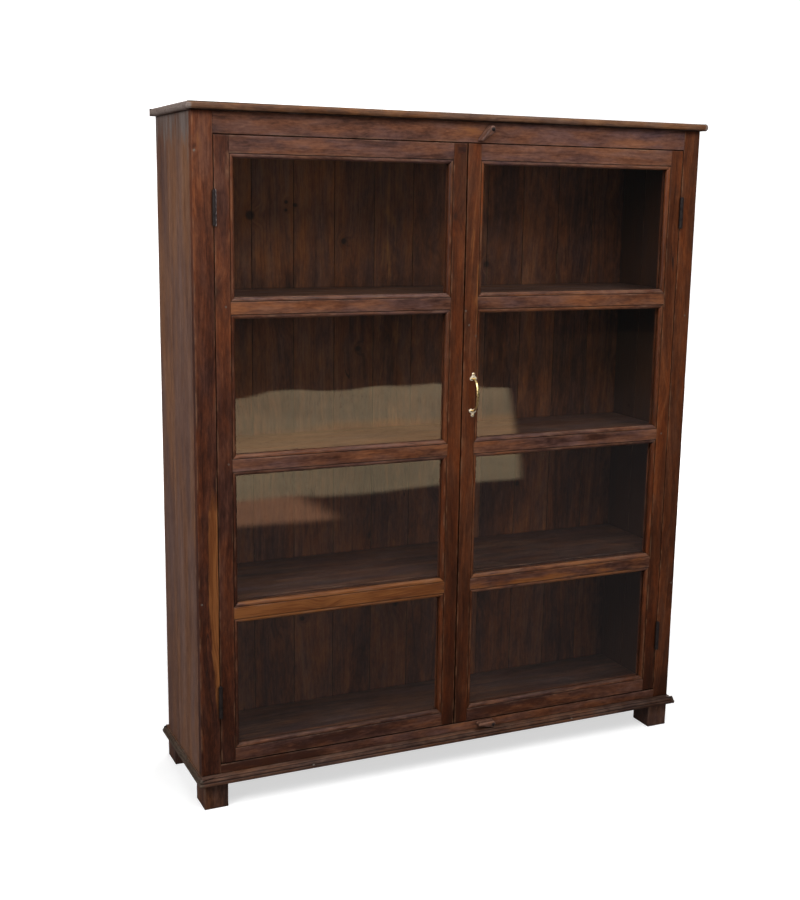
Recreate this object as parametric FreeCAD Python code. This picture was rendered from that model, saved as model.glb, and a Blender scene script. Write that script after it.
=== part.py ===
import FreeCAD, Part
import math
import os

# A glazed display cabinet: a plank carcass on four block feet, with a face frame, and two
# inset doors of four panes each that turn outwards on iron butt hinges.
# Millimetres. X runs to the right, Y to the back and Z up. The origin is on the floor, at
# the middle of the whole cabinet's width and depth.

os.makedirs("parts", exist_ok=True)

V = FreeCAD.Vector
X = V(1, 0, 0)
Y = V(0, 1, 0)
Z = V(0, 0, 1)

# Carcass
carcass_width = 1310.0
carcass_depth = 306.0
foot_height = 64.0
foot_width = 58.0
foot_depth = 70.0
foot_side_inset = 4.0
foot_front_reach = 6.0
foot_edge_chamfer = 2.0
base_thickness = 18.0
base_side_overhang = 11.3
base_front_overhang = 23.0
base_back_overhang = 22.0
base_edge_step = 4.0
base_edge_round = 7.0
carcass_height = 1501.0
top_thickness = 17.0
top_side_overhang = 14.3
top_front_overhang = 15.7
top_edge_round = 7.0
top_lower_round = 4.0
side_thickness = 19.0
side_front_board = 176.0
board_seam = 0.8
board_edge_chamfer = 0.8
back_thickness = 12.0
back_rebate = 9.0
back_plank_count = 12
floor_thickness = 20.0
shelf_thickness = 20.0
shelf_end_gap = 0.5
shelf_rises = (4.5, -16.0, -4.0)
cleat_height = 22.0
cleat_thickness = 18.0
cleat_front_setback = 24.0

# Face frame
face_thickness = 22.0
face_stile_width = 46.0
face_top_rail = 47.5
face_bottom_rail = 22.0
tenon_thickness = 8.0
tenon_shoulder = 5.0
face_tenon_length = 30.0
joint_gap = 0.15
arris = 0.6

# Doors
door_thickness = 24.0
door_side_gap = 1.5
door_top_gap = 2.0
door_bottom_gap = 3.0
door_meeting_gap = 3.0
door_stile_width = 44.5
door_top_rail = 47.5
door_middle_rail = 48.0
door_bottom_rail = 41.8
pane_height_shares = (0.2478, 0.2494, 0.2541, 0.2487)
bead_width = 10.0
quirk_width = 1.4
quirk_depth = 2.0
bead_rise = 0.5
bead_drop = 5.0
bead_bulge = 1.7
lip_depth = 11.0
rebate_width = 7.0
glass_thickness = 3.0
glass_edge_gap = 1.0
glass_bed_gap = 0.2
glazing_bead_width = 6.5

# Hinges
hinge_length = 75.0
hinge_end_distance = 115.0
knuckle_count = 5
knuckle_gap = 0.3
barrel_radius = 4.5
barrel_face_gap = 0.3
pin_radius = 2.2
pin_running_gap = 0.07
pin_head_radius = 3.6
pin_head_height = 1.6
leaf_thickness = 1.8
leaf_proud = 0.6
leaf_depth = 20.0
leaf_clearance = 0.2
knuckle_clearance = 0.4
hinge_screw_count = 3
hinge_screw_radius = 1.6
hinge_screw_head = 3.2
hinge_screw_length = 15.0
screw_slot_width = 0.8
screw_slot_depth = 0.5
screw_fit = 0.05

# Turn buttons
button_head_radius = 9.5
button_tip_radius = 4.5
button_reach = 36.0
button_thickness = 17.0
button_edge_round = 2.0
button_face_gap = 0.3
button_bore_gap = 0.08
button_screw_radius = 2.2
button_screw_head = 4.4
button_screw_dome = 2.0
button_screw_bite = 14.0
top_button_x = 56.0
top_button_drop = 17.0
top_button_turn = 48.0
bottom_button_x = 104.0
bottom_button_rise = 11.0
bottom_button_turn = 95.0

# Door pull
pull_height = 945.0
pull_stile_share = 0.62
pull_centres = 78.0
pull_projection = 30.0
pull_bar_radius = 3.3
pull_neck_radius = 2.3
pull_section_count = 9
pull_lobe_radius = 5.0
pull_lobe_spread = 4.6
pull_tip_radius = 4.0
pull_tip_reach = 11.0
pull_waist_radius = 5.4
pull_waist_share = 0.33
pull_plate_thickness = 2.4
pull_plate_round = 0.8
pull_screw_radius = 1.3
pull_screw_head = 2.2
pull_screw_length = 13.0
pull_screw_dome = 0.9

overrun = 1.0
touch = 0.01

# Levels and planes that the pieces share. The front plane is the face of the frame.
front_reach = max(pull_projection, base_front_overhang)
back_reach = carcass_depth + base_back_overhang
front = (front_reach - back_reach) / 2
back = front + carcass_depth
half_width = carcass_width / 2
base_bottom = foot_height
base_top = base_bottom + base_thickness
carcass_top = base_top + carcass_height
side_inner = half_width - side_thickness
face_back = front + face_thickness
back_inner = back - back_thickness
opening_half = half_width - face_stile_width
opening_bottom = base_top + face_bottom_rail
opening_top = carcass_top - face_top_rail
door_outer = opening_half - door_side_gap
door_inner = door_meeting_gap / 2
door_bottom = opening_bottom + door_bottom_gap
door_top = opening_top - door_top_gap
door_back = front + door_thickness
pane_outer = door_outer - door_stile_width
pane_inner = door_inner + door_stile_width
shelf_front = door_back + leaf_clearance
hinge_x = opening_half - door_side_gap / 2
hinge_y = front - barrel_face_gap - barrel_radius
leaf_inner = door_side_gap / 2 - leaf_proud
leaf_outer = leaf_inner + leaf_thickness
knuckle_length = hinge_length / knuckle_count
hinge_centres = (
    door_bottom + hinge_end_distance + hinge_length / 2,
    door_top - hinge_end_distance - hinge_length / 2,
)


def block(x0, x1, y0, y1, z0, z1):
    """A box between two X, two Y and two Z planes."""
    return Part.makeBox(x1 - x0, y1 - y0, z1 - z0, V(x0, y0, z0))


def prism(points, direction):
    """The face of a closed outline, pulled along a direction."""
    wire = Part.makePolygon(points + points[:1])
    return Part.Face(wire).extrude(direction)


def bar_section(width, thickness, chamfer):
    """Section of a squared timber with its four arrises taken off, as (across, deep) pairs."""
    return [
        (chamfer, 0), (width - chamfer, 0), (width, chamfer), (width, thickness - chamfer),
        (width - chamfer, thickness), (chamfer, thickness), (0, thickness - chamfer), (0, chamfer),
    ]


def upright(x0, x1, y0, y1, z0, z1, chamfer):
    """A vertical timber with eased long edges."""
    section = bar_section(x1 - x0, y1 - y0, chamfer)
    return prism([V(x0 + a, y0 + b, z0) for a, b in section], Z * (z1 - z0))


def crosswise(x0, x1, y0, y1, z0, z1, chamfer):
    """A timber along X with eased long edges."""
    section = bar_section(z1 - z0, y1 - y0, chamfer)
    return prism([V(x0, y0 + b, z0 + a) for a, b in section], X * (x1 - x0))


def deepwise(x0, x1, y0, y1, z0, z1, chamfer):
    """A timber along Y with eased long edges."""
    section = bar_section(x1 - x0, z1 - z0, chamfer)
    return prism([V(x0 + a, y0, z0 + b) for a, b in section], Y * (y1 - y0))


def mirrored(shape):
    """The same piece on the other side of the cabinet."""
    return shape.mirror(V(0, 0, 0), X)


def joined(shapes):
    """Shapes fused to one solid, without seams between flush faces."""
    return shapes[0].multiFuse(shapes[1:]).removeSplitter()


def group(shapes):
    """Separate solids that are kept in one node."""
    return Part.makeCompound(shapes)


def save(shape, node):
    shape.exportStep("parts/" + node + ".step")


def countersunk_screw(seat, inward, head, shank, length, gap):
    """A flat head screw whose head is flush with its seat. A gap above zero gives its hole."""
    depth = head - shank
    cone = Part.makeCone(head + gap, shank + gap, depth + gap, seat, inward)
    stem = Part.makeCylinder(shank + gap, length + gap, seat, inward)
    return joined([cone, stem])


def slotted(screw, seat, inward, along, head):
    """A screw with a driver slot across its head."""
    side = inward.cross(along)
    corner = seat - along * head - side * (screw_slot_width / 2) - inward * overrun
    slot = prism(
        [
            corner,
            corner + along * (head * 2),
            corner + along * (head * 2) + side * screw_slot_width,
            corner + side * screw_slot_width,
        ],
        inward * (overrun + screw_slot_depth),
    )
    return screw.cut(slot)


def domed_screw(seat, inward, head, dome, shank, length):
    """A round head screw. Its head stands out from the seat by the dome's height."""
    ball_radius = (head * head + dome * dome) / (2 * dome)
    centre = seat + inward * (ball_radius - dome)
    ball = Part.makeSphere(ball_radius, centre)
    cap = ball.common(Part.makeCylinder(head, dome, seat - inward * dome, inward))
    stem = Part.makeCylinder(shank, length, seat, inward)
    return joined([cap, stem])


def edges_at(shape, direction, distance):
    """The edges of a shape that lie in a plane square to a direction."""
    return [
        edge for edge in shape.Edges
        if all(abs(vertex.Point.dot(direction) - distance) < touch for vertex in edge.Vertexes)
    ]


def edges_besides(edges, shape, direction, distance):
    """Edges without those that lie in one plane of the shape."""
    spared = edges_at(shape, direction, distance)
    return [edge for edge in edges if not any(edge.isSame(other) for other in spared)]


# Carcass


def top_board():
    """Rounded above and below along the front and the ends, flush with the back."""
    reach = half_width + top_side_overhang
    z1 = carcass_top + top_thickness
    board = block(-reach, reach, front - top_front_overhang, back, carcass_top, z1)
    for z, radius in ((z1, top_edge_round), (carcass_top, top_lower_round)):
        rim = edges_besides(edges_at(board, Z, z), board, Y, back)
        board = board.makeFillet(radius, rim)
    return board


def base_board():
    """Rounded along its upper edge above a square step, and eased below."""
    reach = half_width + base_side_overhang
    y0 = front - base_front_overhang
    y1 = back + base_back_overhang
    board = block(-reach, reach, y0, y1, base_bottom, base_top)
    board = board.makeFillet(base_edge_round, edges_at(board, Z, base_top))
    step_top = base_bottom + base_edge_step
    step = block(-reach, reach, y0, y1, base_bottom, step_top).cut(
        block(
            -reach + arris, reach - arris, y0 + arris, y1 - arris,
            base_bottom - overrun, step_top + overrun,
        )
    )
    return board.cut(step)


def foot(x0, y0):
    """A square block foot with eased upright and bottom edges."""
    shape = upright(
        x0, x0 + foot_width, y0, y0 + foot_depth, 0, foot_height, foot_edge_chamfer
    )
    return shape.makeChamfer(arris, edges_at(shape, Z, 0))


def make_feet():
    outer = half_width - foot_side_inset
    places = {
        "left": -outer,
        "right": outer - foot_width,
    }
    rows = {
        "front": front - foot_front_reach,
        "back": back + base_back_overhang - foot_depth,
    }
    for row, y0 in rows.items():
        for side, x0 in places.items():
            save(foot(x0, y0), "foot_" + row + "_" + side)


def side_boards():
    """The front and the back board of the left side. The back board takes the back planks."""
    seam = face_back + side_front_board
    front_board = upright(
        -half_width, -side_inner, face_back, seam - board_seam / 2,
        base_top, carcass_top, board_edge_chamfer,
    )
    back_board = upright(
        -half_width, -side_inner, seam + board_seam / 2, back,
        base_top, carcass_top, board_edge_chamfer,
    )
    rebate = block(
        -side_inner - back_rebate, -side_inner + overrun, back_inner, back + overrun,
        base_top - overrun, carcass_top + overrun,
    )
    return front_board, back_board.cut(rebate)


def back_planks():
    """Upright planks that fill the back between the rebates, with a narrow gap at each seam."""
    reach = side_inner + back_rebate - joint_gap
    pitch = 2 * reach / back_plank_count
    planks = []
    for number in range(back_plank_count):
        x0 = -reach + number * pitch
        planks.append(
            upright(
                x0 + board_seam / 2, x0 + pitch - board_seam / 2, back_inner + joint_gap, back,
                base_top, carcass_top, board_edge_chamfer,
            )
        )
    return group(planks)


def shelf(z1, y0):
    """A shelf, or the floor, between the sides and the back planks."""
    reach = side_inner - shelf_end_gap
    return crosswise(
        -reach, reach, y0, back_inner - shelf_end_gap, z1 - shelf_thickness, z1,
        board_edge_chamfer,
    )


def floor_board():
    reach = side_inner - shelf_end_gap
    return crosswise(
        -reach, reach, face_back + joint_gap, back_inner - shelf_end_gap,
        base_top, base_top + floor_thickness, board_edge_chamfer,
    )


def shelf_tops():
    """The top of each shelf, at a rise above the top of a middle rail of the doors."""
    rail_tops = [z0 for z0, z1 in pane_levels()[1:]]
    return [z + rise for z, rise in zip(rail_tops, shelf_rises)]


def shelf_cleats():
    """A cleat under each end of each shelf, against the side boards."""
    cleats = []
    for z1 in shelf_tops():
        under = z1 - shelf_thickness
        left = deepwise(
            -side_inner, -side_inner + cleat_thickness, shelf_front + cleat_front_setback,
            back_inner - shelf_end_gap, under - cleat_height, under, board_edge_chamfer,
        )
        cleats += [left, mirrored(left)]
    return group(cleats)


# Face frame


def tenon(x0, x1, z0, z1, y_middle, gap):
    """A tenon along X. A gap above zero gives its mortise."""
    half = tenon_thickness / 2 + gap
    return block(x0, x1, y_middle - half, y_middle + half, z0 - gap, z1 + gap)


def face_tenon(z0, z1, shoulder, gap):
    """The tenon at the left end of a face frame rail."""
    middle = front + face_thickness / 2
    return tenon(
        -opening_half - face_tenon_length - gap, -opening_half, z0 + shoulder, z1 - shoulder,
        middle, gap,
    )


def face_rails_span():
    """Bottom and top of the two rails, each with its tenon shoulder."""
    return {
        "top": (opening_top, carcass_top, tenon_shoulder),
        "bottom": (base_top, opening_bottom, tenon_shoulder),
    }


def hinge_gain(centre, outward):
    """The recess for a hinge leaf in the edge of a left stile. Outward is -1 on the frame
    side of the hinge line and 1 on the door side."""
    near = -hinge_x + outward * (leaf_inner - leaf_clearance)
    far = -hinge_x + outward * (leaf_outer + joint_gap)
    return block(
        min(near, far), max(near, far), front - overrun, front + leaf_depth + leaf_clearance,
        centre - hinge_length / 2 - leaf_clearance, centre + hinge_length / 2 + leaf_clearance,
    )


def leaf_screw_places(centre, outward):
    """Where a left leaf's screws sit, on the face towards the other leaf."""
    spacing = hinge_length / hinge_screw_count
    first = centre - hinge_length / 2 + spacing / 2
    x = -hinge_x + outward * leaf_inner
    y = front + leaf_depth / 2
    return [V(x, y, first + number * spacing) for number in range(hinge_screw_count)]


def leaf_screws(centre, outward, gap):
    """Screws of a left leaf, or their holes."""
    return [
        countersunk_screw(
            seat, X * outward, hinge_screw_head, hinge_screw_radius, hinge_screw_length, gap
        )
        for seat in leaf_screw_places(centre, outward)
    ]


def finished_screws(centre, outward):
    return [
        slotted(screw, seat, X * outward, Y, hinge_screw_head)
        for screw, seat in zip(leaf_screws(centre, outward, 0), leaf_screw_places(centre, outward))
    ]


def face_stile():
    """The left stile: mortises for two rails, and gains and screw holes for two hinges."""
    shape = upright(
        -half_width, -opening_half, front, face_back, base_top, carcass_top, arris
    )
    cuts = [face_tenon(z0, z1, shoulder, joint_gap) for z0, z1, shoulder in face_rails_span().values()]
    for centre in hinge_centres:
        cuts.append(hinge_gain(centre, -1))
        cuts += leaf_screws(centre, -1, screw_fit)
    return shape.cut(cuts)


def face_rail(z0, z1, shoulder):
    """A rail with a tenon at each end."""
    middle = crosswise(-opening_half, opening_half, front, face_back, z0, z1, arris)
    left = face_tenon(z0, z1, shoulder, 0)
    return joined([middle, left, mirrored(left)])


# Doors, made as the left door


def pane_levels():
    """Bottom and top of each pane opening, from the lowest up."""
    middle_rails = len(pane_height_shares) - 1
    rails = door_top_rail + door_bottom_rail + middle_rails * door_middle_rail
    glazed = door_top - door_bottom - rails
    z0 = door_bottom + door_bottom_rail
    levels = []
    for share in pane_height_shares:
        z1 = z0 + glazed * share / sum(pane_height_shares)
        levels.append((z0, z1))
        z0 = z1 + door_middle_rail
    return levels


def bead_face(place):
    """Section of the moulded edge: a quirk, a round bead that falls to the glass, the lip,
    and the rebate behind it. Place turns (towards the pane, deep) into a point."""
    inner = bead_width - rebate_width
    crest, foot_of_bead = (quirk_width, bead_rise), (bead_width, bead_drop)
    run, fall = bead_width - quirk_width, bead_drop - bead_rise
    chord = math.hypot(run, fall)
    middle = (
        (crest[0] + foot_of_bead[0]) / 2 + bead_bulge * fall / chord,
        (crest[1] + foot_of_bead[1]) / 2 - bead_bulge * run / chord,
    )
    corners = [
        foot_of_bead, (bead_width, lip_depth), (inner, lip_depth), (inner, door_thickness),
        (0, door_thickness), (0, quirk_depth), (quirk_width, quirk_depth), crest,
    ]
    lines = [Part.makeLine(place(*a), place(*b)) for a, b in zip(corners, corners[1:])]
    bead = Part.Arc(place(*crest), place(*middle), place(*foot_of_bead)).toShape()
    return Part.Face(Part.Wire(lines + [bead]))


def mitre(x0, x1, z0, z1, side):
    """The wedge of a pane's moulding that belongs to one side, as wide as the moulding."""
    b = bead_width
    corners = {
        "left": [(x0 - b, z0 - b), (x0 - b, z1 + b), (x0, z1), (x0, z0)],
        "right": [(x1 + b, z0 - b), (x1 + b, z1 + b), (x1, z1), (x1, z0)],
        "below": [(x0 - b, z0 - b), (x1 + b, z0 - b), (x1, z0), (x0, z0)],
        "above": [(x0 - b, z1 + b), (x1 + b, z1 + b), (x1, z1), (x0, z1)],
    }[side]
    return prism(
        [V(x, front - overrun, z) for x, z in corners], Y * (door_thickness + 2 * overrun)
    )


def moulding(x0, x1, z0, z1, side):
    """The moulded strip along one side of a pane opening, mitred at both ends."""
    b = bead_width
    if side in ("left", "right"):
        start, sign = (x0 - b, 1) if side == "left" else (x1 + b, -1)
        face = bead_face(lambda t, d: V(start + sign * t, front + d, z0 - b))
        strip = face.extrude(Z * (z1 - z0 + 2 * b))
    else:
        start, sign = (z0 - b, 1) if side == "below" else (z1 + b, -1)
        face = bead_face(lambda t, d: V(x0 - b, front + d, start + sign * t))
        strip = face.extrude(X * (x1 - x0 + 2 * b))
    return strip.common(mitre(x0, x1, z0, z1, side))


def door_rails():
    """Each rail's name, its bottom and top, and which edges are moulded."""
    levels = pane_levels()
    rails = {"bottom_rail": (door_bottom, levels[0][0], False, True)}
    for name, below, above in zip(("lower_rail", "middle_rail", "upper_rail"), levels, levels[1:]):
        rails[name] = (below[1], above[0], True, True)
    rails["top_rail"] = (levels[-1][1], door_top, True, False)
    return rails


def flat_span(z0, z1, under, over):
    """The flat part of a rail, between its mouldings."""
    return (z0 + bead_width if under else z0, z1 - bead_width if over else z1)


def door_tenons(gap):
    """The tenons of all the rails in both stiles, or their mortises."""
    middle = front + door_thickness / 2
    spans = {
        "outer": (-door_outer, -pane_outer - bead_width),
        "inner": (-pane_inner + bead_width, -door_inner),
    }
    tenons = {}
    for name, rail in door_rails().items():
        z0, z1 = flat_span(*rail)
        tenons[name] = {
            end: tenon(x0 - gap, x1 + gap, z0 + tenon_shoulder, z1 - tenon_shoulder, middle, gap)
            for end, (x0, x1) in spans.items()
        }
    return tenons


def door_stile(outer):
    """A stile of the left door: the hinge stile if outer, otherwise the meeting stile."""
    if outer:
        x0, x1, side = -door_outer, -pane_outer - bead_width, "left"
    else:
        x0, x1, side = -pane_inner + bead_width, -door_inner, "right"
    flat = upright(x0, x1, front, door_back, door_bottom, door_top, arris)
    strips = [moulding(-pane_outer, -pane_inner, z0, z1, side) for z0, z1 in pane_levels()]
    shape = joined([flat] + strips)
    end = "outer" if outer else "inner"
    cuts = [tenons[end] for tenons in door_tenons(joint_gap).values()]
    if outer:
        for centre in hinge_centres:
            cuts.append(hinge_gain(centre, 1))
            cuts += leaf_screws(centre, 1, screw_fit)
    return shape.cut(cuts)


def door_rail(name):
    """A rail with its mouldings and a through tenon at each end."""
    z0, z1, under, over = door_rails()[name]
    flat0, flat1 = flat_span(z0, z1, under, over)
    pieces = [
        crosswise(
            -pane_outer - bead_width, -pane_inner + bead_width, front, door_back,
            flat0, flat1, arris,
        )
    ]
    levels = pane_levels()
    if under:
        below = [pane for pane in levels if abs(pane[1] - z0) < touch][0]
        pieces.append(moulding(-pane_outer, -pane_inner, *below, "above"))
    if over:
        above = [pane for pane in levels if abs(pane[0] - z1) < touch][0]
        pieces.append(moulding(-pane_outer, -pane_inner, *above, "below"))
    pieces += door_tenons(0)[name].values()
    return joined(pieces)


def glass_pane(z0, z1):
    """A pane that sits in the rebate with a little room round its edge."""
    grow = rebate_width - glass_edge_gap
    y0 = front + lip_depth + glass_bed_gap
    return block(
        -pane_outer - grow, -pane_inner + grow, y0, y0 + glass_thickness, z0 - grow, z1 + grow
    )


def glazing_beads():
    """Four strips behind each pane, which hold it in its rebate."""
    y0 = front + lip_depth + glass_thickness + 2 * glass_bed_gap
    reach = rebate_width - joint_gap
    beads = []
    for z0, z1 in pane_levels():
        left, right = -pane_outer - reach, -pane_inner + reach
        low, high = z0 - reach, z1 + reach
        for x0 in (left, right - glazing_bead_width):
            beads.append(upright(x0, x0 + glazing_bead_width, y0, door_back, low, high, arris))
        inner_left = left + glazing_bead_width + joint_gap
        inner_right = right - glazing_bead_width - joint_gap
        for bead_z in (low, high - glazing_bead_width):
            beads.append(
                crosswise(
                    inner_left, inner_right, y0, door_back, bead_z,
                    bead_z + glazing_bead_width, arris,
                )
            )
    return group(beads)


# Hinges, made for the left door


def hinge_leaf(centre, outward):
    """A leaf with its knuckles. The frame leaf, outward -1, has the first, third and last
    knuckle, and the door leaf the other ones."""
    near = -hinge_x + outward * leaf_inner
    far = -hinge_x + outward * leaf_outer
    x0, x1 = min(near, far), max(near, far)
    bottom = centre - hinge_length / 2
    plate_front = hinge_y + barrel_radius + knuckle_clearance
    pieces = [block(x0, x1, plate_front, front + leaf_depth, bottom, bottom + hinge_length)]
    first = 0 if outward < 0 else 1
    for number in range(first, knuckle_count, 2):
        z0 = bottom + number * knuckle_length + knuckle_gap / 2
        height = knuckle_length - knuckle_gap
        pieces.append(Part.makeCylinder(barrel_radius, height, V(-hinge_x, hinge_y, z0), Z))
        pieces.append(block(x0, x1, hinge_y, plate_front + overrun, z0, z0 + height))
    bore = Part.makeCylinder(
        pin_radius + pin_running_gap, hinge_length + 2 * overrun,
        V(-hinge_x, hinge_y, bottom - overrun), Z,
    )
    return joined(pieces).cut([bore] + leaf_screws(centre, outward, screw_fit))


def hinge_pin(centre):
    """The pin, with a low round head at each end of the barrel."""
    bottom = centre - hinge_length / 2
    pieces = [Part.makeCylinder(pin_radius, hinge_length, V(-hinge_x, hinge_y, bottom), Z)]
    for z, way in ((bottom, -1), (bottom + hinge_length, 1)):
        head = Part.makeCylinder(pin_head_radius, pin_head_height, V(-hinge_x, hinge_y, z), Z * way)
        rim = edges_at(head, Z, z + way * pin_head_height)
        pieces.append(head.makeFillet(pin_head_height / 2, rim))
    return joined(pieces)


# Turn buttons


def button_outline(x, z, y, turn):
    """A teardrop about the pivot. Its tail points down when turn is 0, and turns to the
    left as turn grows."""
    lean = math.asin((button_head_radius - button_tip_radius) / button_reach)
    heading = math.radians(-90 - turn)
    tip = V(x + button_reach * math.cos(heading), y, z + button_reach * math.sin(heading))
    pivot = V(x, y, z)

    def spot(centre, radius, angle):
        return centre + V(radius * math.cos(angle), 0, radius * math.sin(angle))

    one, other = heading + math.pi / 2 - lean, heading - math.pi / 2 + lean
    head_one, head_other = (spot(pivot, button_head_radius, a) for a in (one, other))
    tip_one, tip_other = (spot(tip, button_tip_radius, a) for a in (one, other))
    crown = spot(pivot, button_head_radius, heading + math.pi)
    point = spot(tip, button_tip_radius, heading)
    return Part.Wire(
        [
            Part.Arc(head_one, crown, head_other).toShape(),
            Part.makeLine(head_other, tip_other),
            Part.Arc(tip_other, point, tip_one).toShape(),
            Part.makeLine(tip_one, head_one),
        ]
    )


def turn_button(x, z, turn):
    """A wooden button, rounded at its face, with a running bore for its screw."""
    y1 = front - button_face_gap
    y0 = y1 - button_thickness
    solid = Part.Face(button_outline(x, z, y0, turn)).extrude(Y * button_thickness)
    solid = solid.makeFillet(button_edge_round, edges_at(solid, Y, y0))
    bore = Part.makeCylinder(
        button_screw_radius + button_bore_gap, button_thickness + 2 * overrun,
        V(x, y0 - overrun, z), Y,
    )
    return solid.cut(bore)


def turn_button_screw(x, z):
    """The screw that the button turns on, with its slot."""
    seat = V(x, front - button_thickness - 2 * button_face_gap, z)
    length = button_thickness + 2 * button_face_gap + button_screw_bite
    screw = domed_screw(
        seat, Y, button_screw_head, button_screw_dome, button_screw_radius, length
    )
    return slotted(screw, seat - Y * button_screw_dome, Y, X, button_screw_head)


def screw_hole(x, z, radius, depth):
    """The hole for a screw in the front plane."""
    return Part.makeCylinder(
        radius + screw_fit, depth + overrun + screw_fit, V(x, front - overrun, z), Y
    )


# Door pull


def pull_x():
    return door_inner + door_stile_width * pull_stile_share


def pull_bar():
    """A bar that bows out from the plates, thickest at its middle."""
    start = front - pull_plate_thickness / 2
    rise = pull_projection - pull_bar_radius - pull_plate_thickness / 2
    half_span = pull_centres / 2
    sections = []
    for number in range(pull_section_count):
        angle = math.pi * number / (pull_section_count - 1)
        radius = pull_neck_radius + (pull_bar_radius - pull_neck_radius) * math.sin(angle)
        circle = Part.makeCircle(radius)
        lean = math.atan2(rise * math.cos(angle), half_span * math.sin(angle))
        circle.rotate(V(0, 0, 0), X, math.degrees(lean))
        y = start - rise * math.sin(angle)
        circle.translate(V(pull_x(), y, pull_height - half_span * math.cos(angle)))
        sections.append(Part.Wire([circle]))
    return Part.makeLoft(sections, True, False)


def pull_lobes(way):
    """Centres and radii of a plate's lobes: two beside the bar and one beyond it."""
    x = pull_x()
    z = pull_height + way * pull_centres / 2
    return [
        (x - pull_lobe_spread, z, pull_lobe_radius),
        (x + pull_lobe_spread, z, pull_lobe_radius),
        (x, z + way * pull_tip_reach, pull_tip_radius),
    ]


def pull_plate(way):
    """A three lobed plate, at the upper end of the bar if way is 1 and at the lower if -1."""
    y0 = front - pull_plate_thickness
    lobes = [
        Part.makeCylinder(radius, pull_plate_thickness, V(x, y0, z), Y)
        for x, z, radius in pull_lobes(way)
    ]
    x = pull_x()
    z = pull_height + way * (pull_centres / 2 + pull_tip_reach * pull_waist_share)
    lobes.append(Part.makeCylinder(pull_waist_radius, pull_plate_thickness, V(x, y0, z), Y))
    plate = joined(lobes)
    return plate.makeFillet(pull_plate_round, edges_at(plate, Y, y0))


def pull_screws(gap):
    """One screw in each lobe of both plates, or their holes."""
    screws = []
    for way in (1, -1):
        for x, z, radius in pull_lobes(way):
            seat = V(x, front - pull_plate_thickness, z)
            length = pull_plate_thickness + pull_screw_length
            if gap:
                screws.append(Part.makeCylinder(pull_screw_radius + gap, length + gap, seat, Y))
            else:
                screws.append(
                    domed_screw(
                        seat, Y, pull_screw_head, pull_screw_dome, pull_screw_radius, length
                    )
                )
    return screws


def door_pull():
    plain = joined([pull_bar(), pull_plate(1), pull_plate(-1)])
    behind = block(
        pull_x() - pull_centres, pull_x() + pull_centres, front, door_back,
        pull_height - pull_centres, pull_height + pull_centres,
    )
    return plain.cut([behind] + pull_screws(screw_fit))


def make_carcass():
    save(top_board(), "top_board")
    save(base_board(), "base_board")
    make_feet()
    front_board, back_board = side_boards()
    for name, board in (("front", front_board), ("back", back_board)):
        save(board, "side_board_left_" + name)
        save(mirrored(board), "side_board_right_" + name)
    save(back_planks(), "back_planks")
    save(floor_board(), "floor_board")
    for name, z1 in zip(("lower", "middle", "upper"), shelf_tops()):
        save(shelf(z1, shelf_front), "shelf_" + name)
    save(shelf_cleats(), "shelf_cleats")


def make_face_frame(button_places):
    stile = face_stile()
    save(stile, "face_stile_left")
    save(mirrored(stile), "face_stile_right")
    for name, (z0, z1, shoulder) in face_rails_span().items():
        x, z = button_places[name]
        hole = screw_hole(x, z, button_screw_radius, button_screw_bite)
        save(face_rail(z0, z1, shoulder).cut(hole), "face_rail_" + name)


def make_hinges():
    frame_leaves = [hinge_leaf(centre, -1) for centre in hinge_centres]
    door_leaves = [hinge_leaf(centre, 1) for centre in hinge_centres]
    pins = [hinge_pin(centre) for centre in hinge_centres]
    frame_screws = [s for centre in hinge_centres for s in finished_screws(centre, -1)]
    door_screws = [s for centre in hinge_centres for s in finished_screws(centre, 1)]
    save(group(frame_leaves), "hinge_frame_leaves_left")
    save(mirrored(group(frame_leaves)), "hinge_frame_leaves_right")
    save(group(pins + [mirrored(pin) for pin in pins]), "hinge_pins")
    save(group(frame_screws + [mirrored(s) for s in frame_screws]), "hinge_screws_frame")
    save(group(door_leaves), "door_left_hinge_leaves")
    save(mirrored(group(door_leaves)), "door_right_hinge_leaves")
    save(group(door_screws), "door_left_hinge_screws")
    save(mirrored(group(door_screws)), "door_right_hinge_screws")


def make_doors():
    timbers = {"hinge_stile": door_stile(True), "meeting_stile": door_stile(False)}
    for name in door_rails():
        timbers[name] = door_rail(name)
    holes = pull_screws(screw_fit)
    for name, shape in timbers.items():
        save(shape, "door_left_" + name)
        save(mirrored(shape).cut(holes), "door_right_" + name)
    panes = {"glazing_beads": glazing_beads()}
    for number, (z0, z1) in enumerate(pane_levels(), 1):
        panes["glass_" + str(number)] = glass_pane(z0, z1)
    for name, shape in panes.items():
        save(shape, "door_left_" + name)
        save(mirrored(shape), "door_right_" + name)
    save(door_pull(), "door_pull")
    save(group(pull_screws(0)), "door_pull_screws")


def make_buttons(places):
    turns = {"top": top_button_turn, "bottom": bottom_button_turn}
    for name, (x, z) in places.items():
        save(turn_button(x, z, turns[name]), "turn_button_" + name)
    save(group([turn_button_screw(x, z) for x, z in places.values()]), "turn_button_screws")


def main():
    button_places = {
        "top": (top_button_x, carcass_top - top_button_drop),
        "bottom": (bottom_button_x, base_top + bottom_button_rise),
    }
    make_carcass()
    make_face_frame(button_places)
    make_hinges()
    make_doors()
    make_buttons(button_places)


main()
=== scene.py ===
import math

import bmesh
import bpy
import numpy as np
from mathutils import Matrix, Vector


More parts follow.
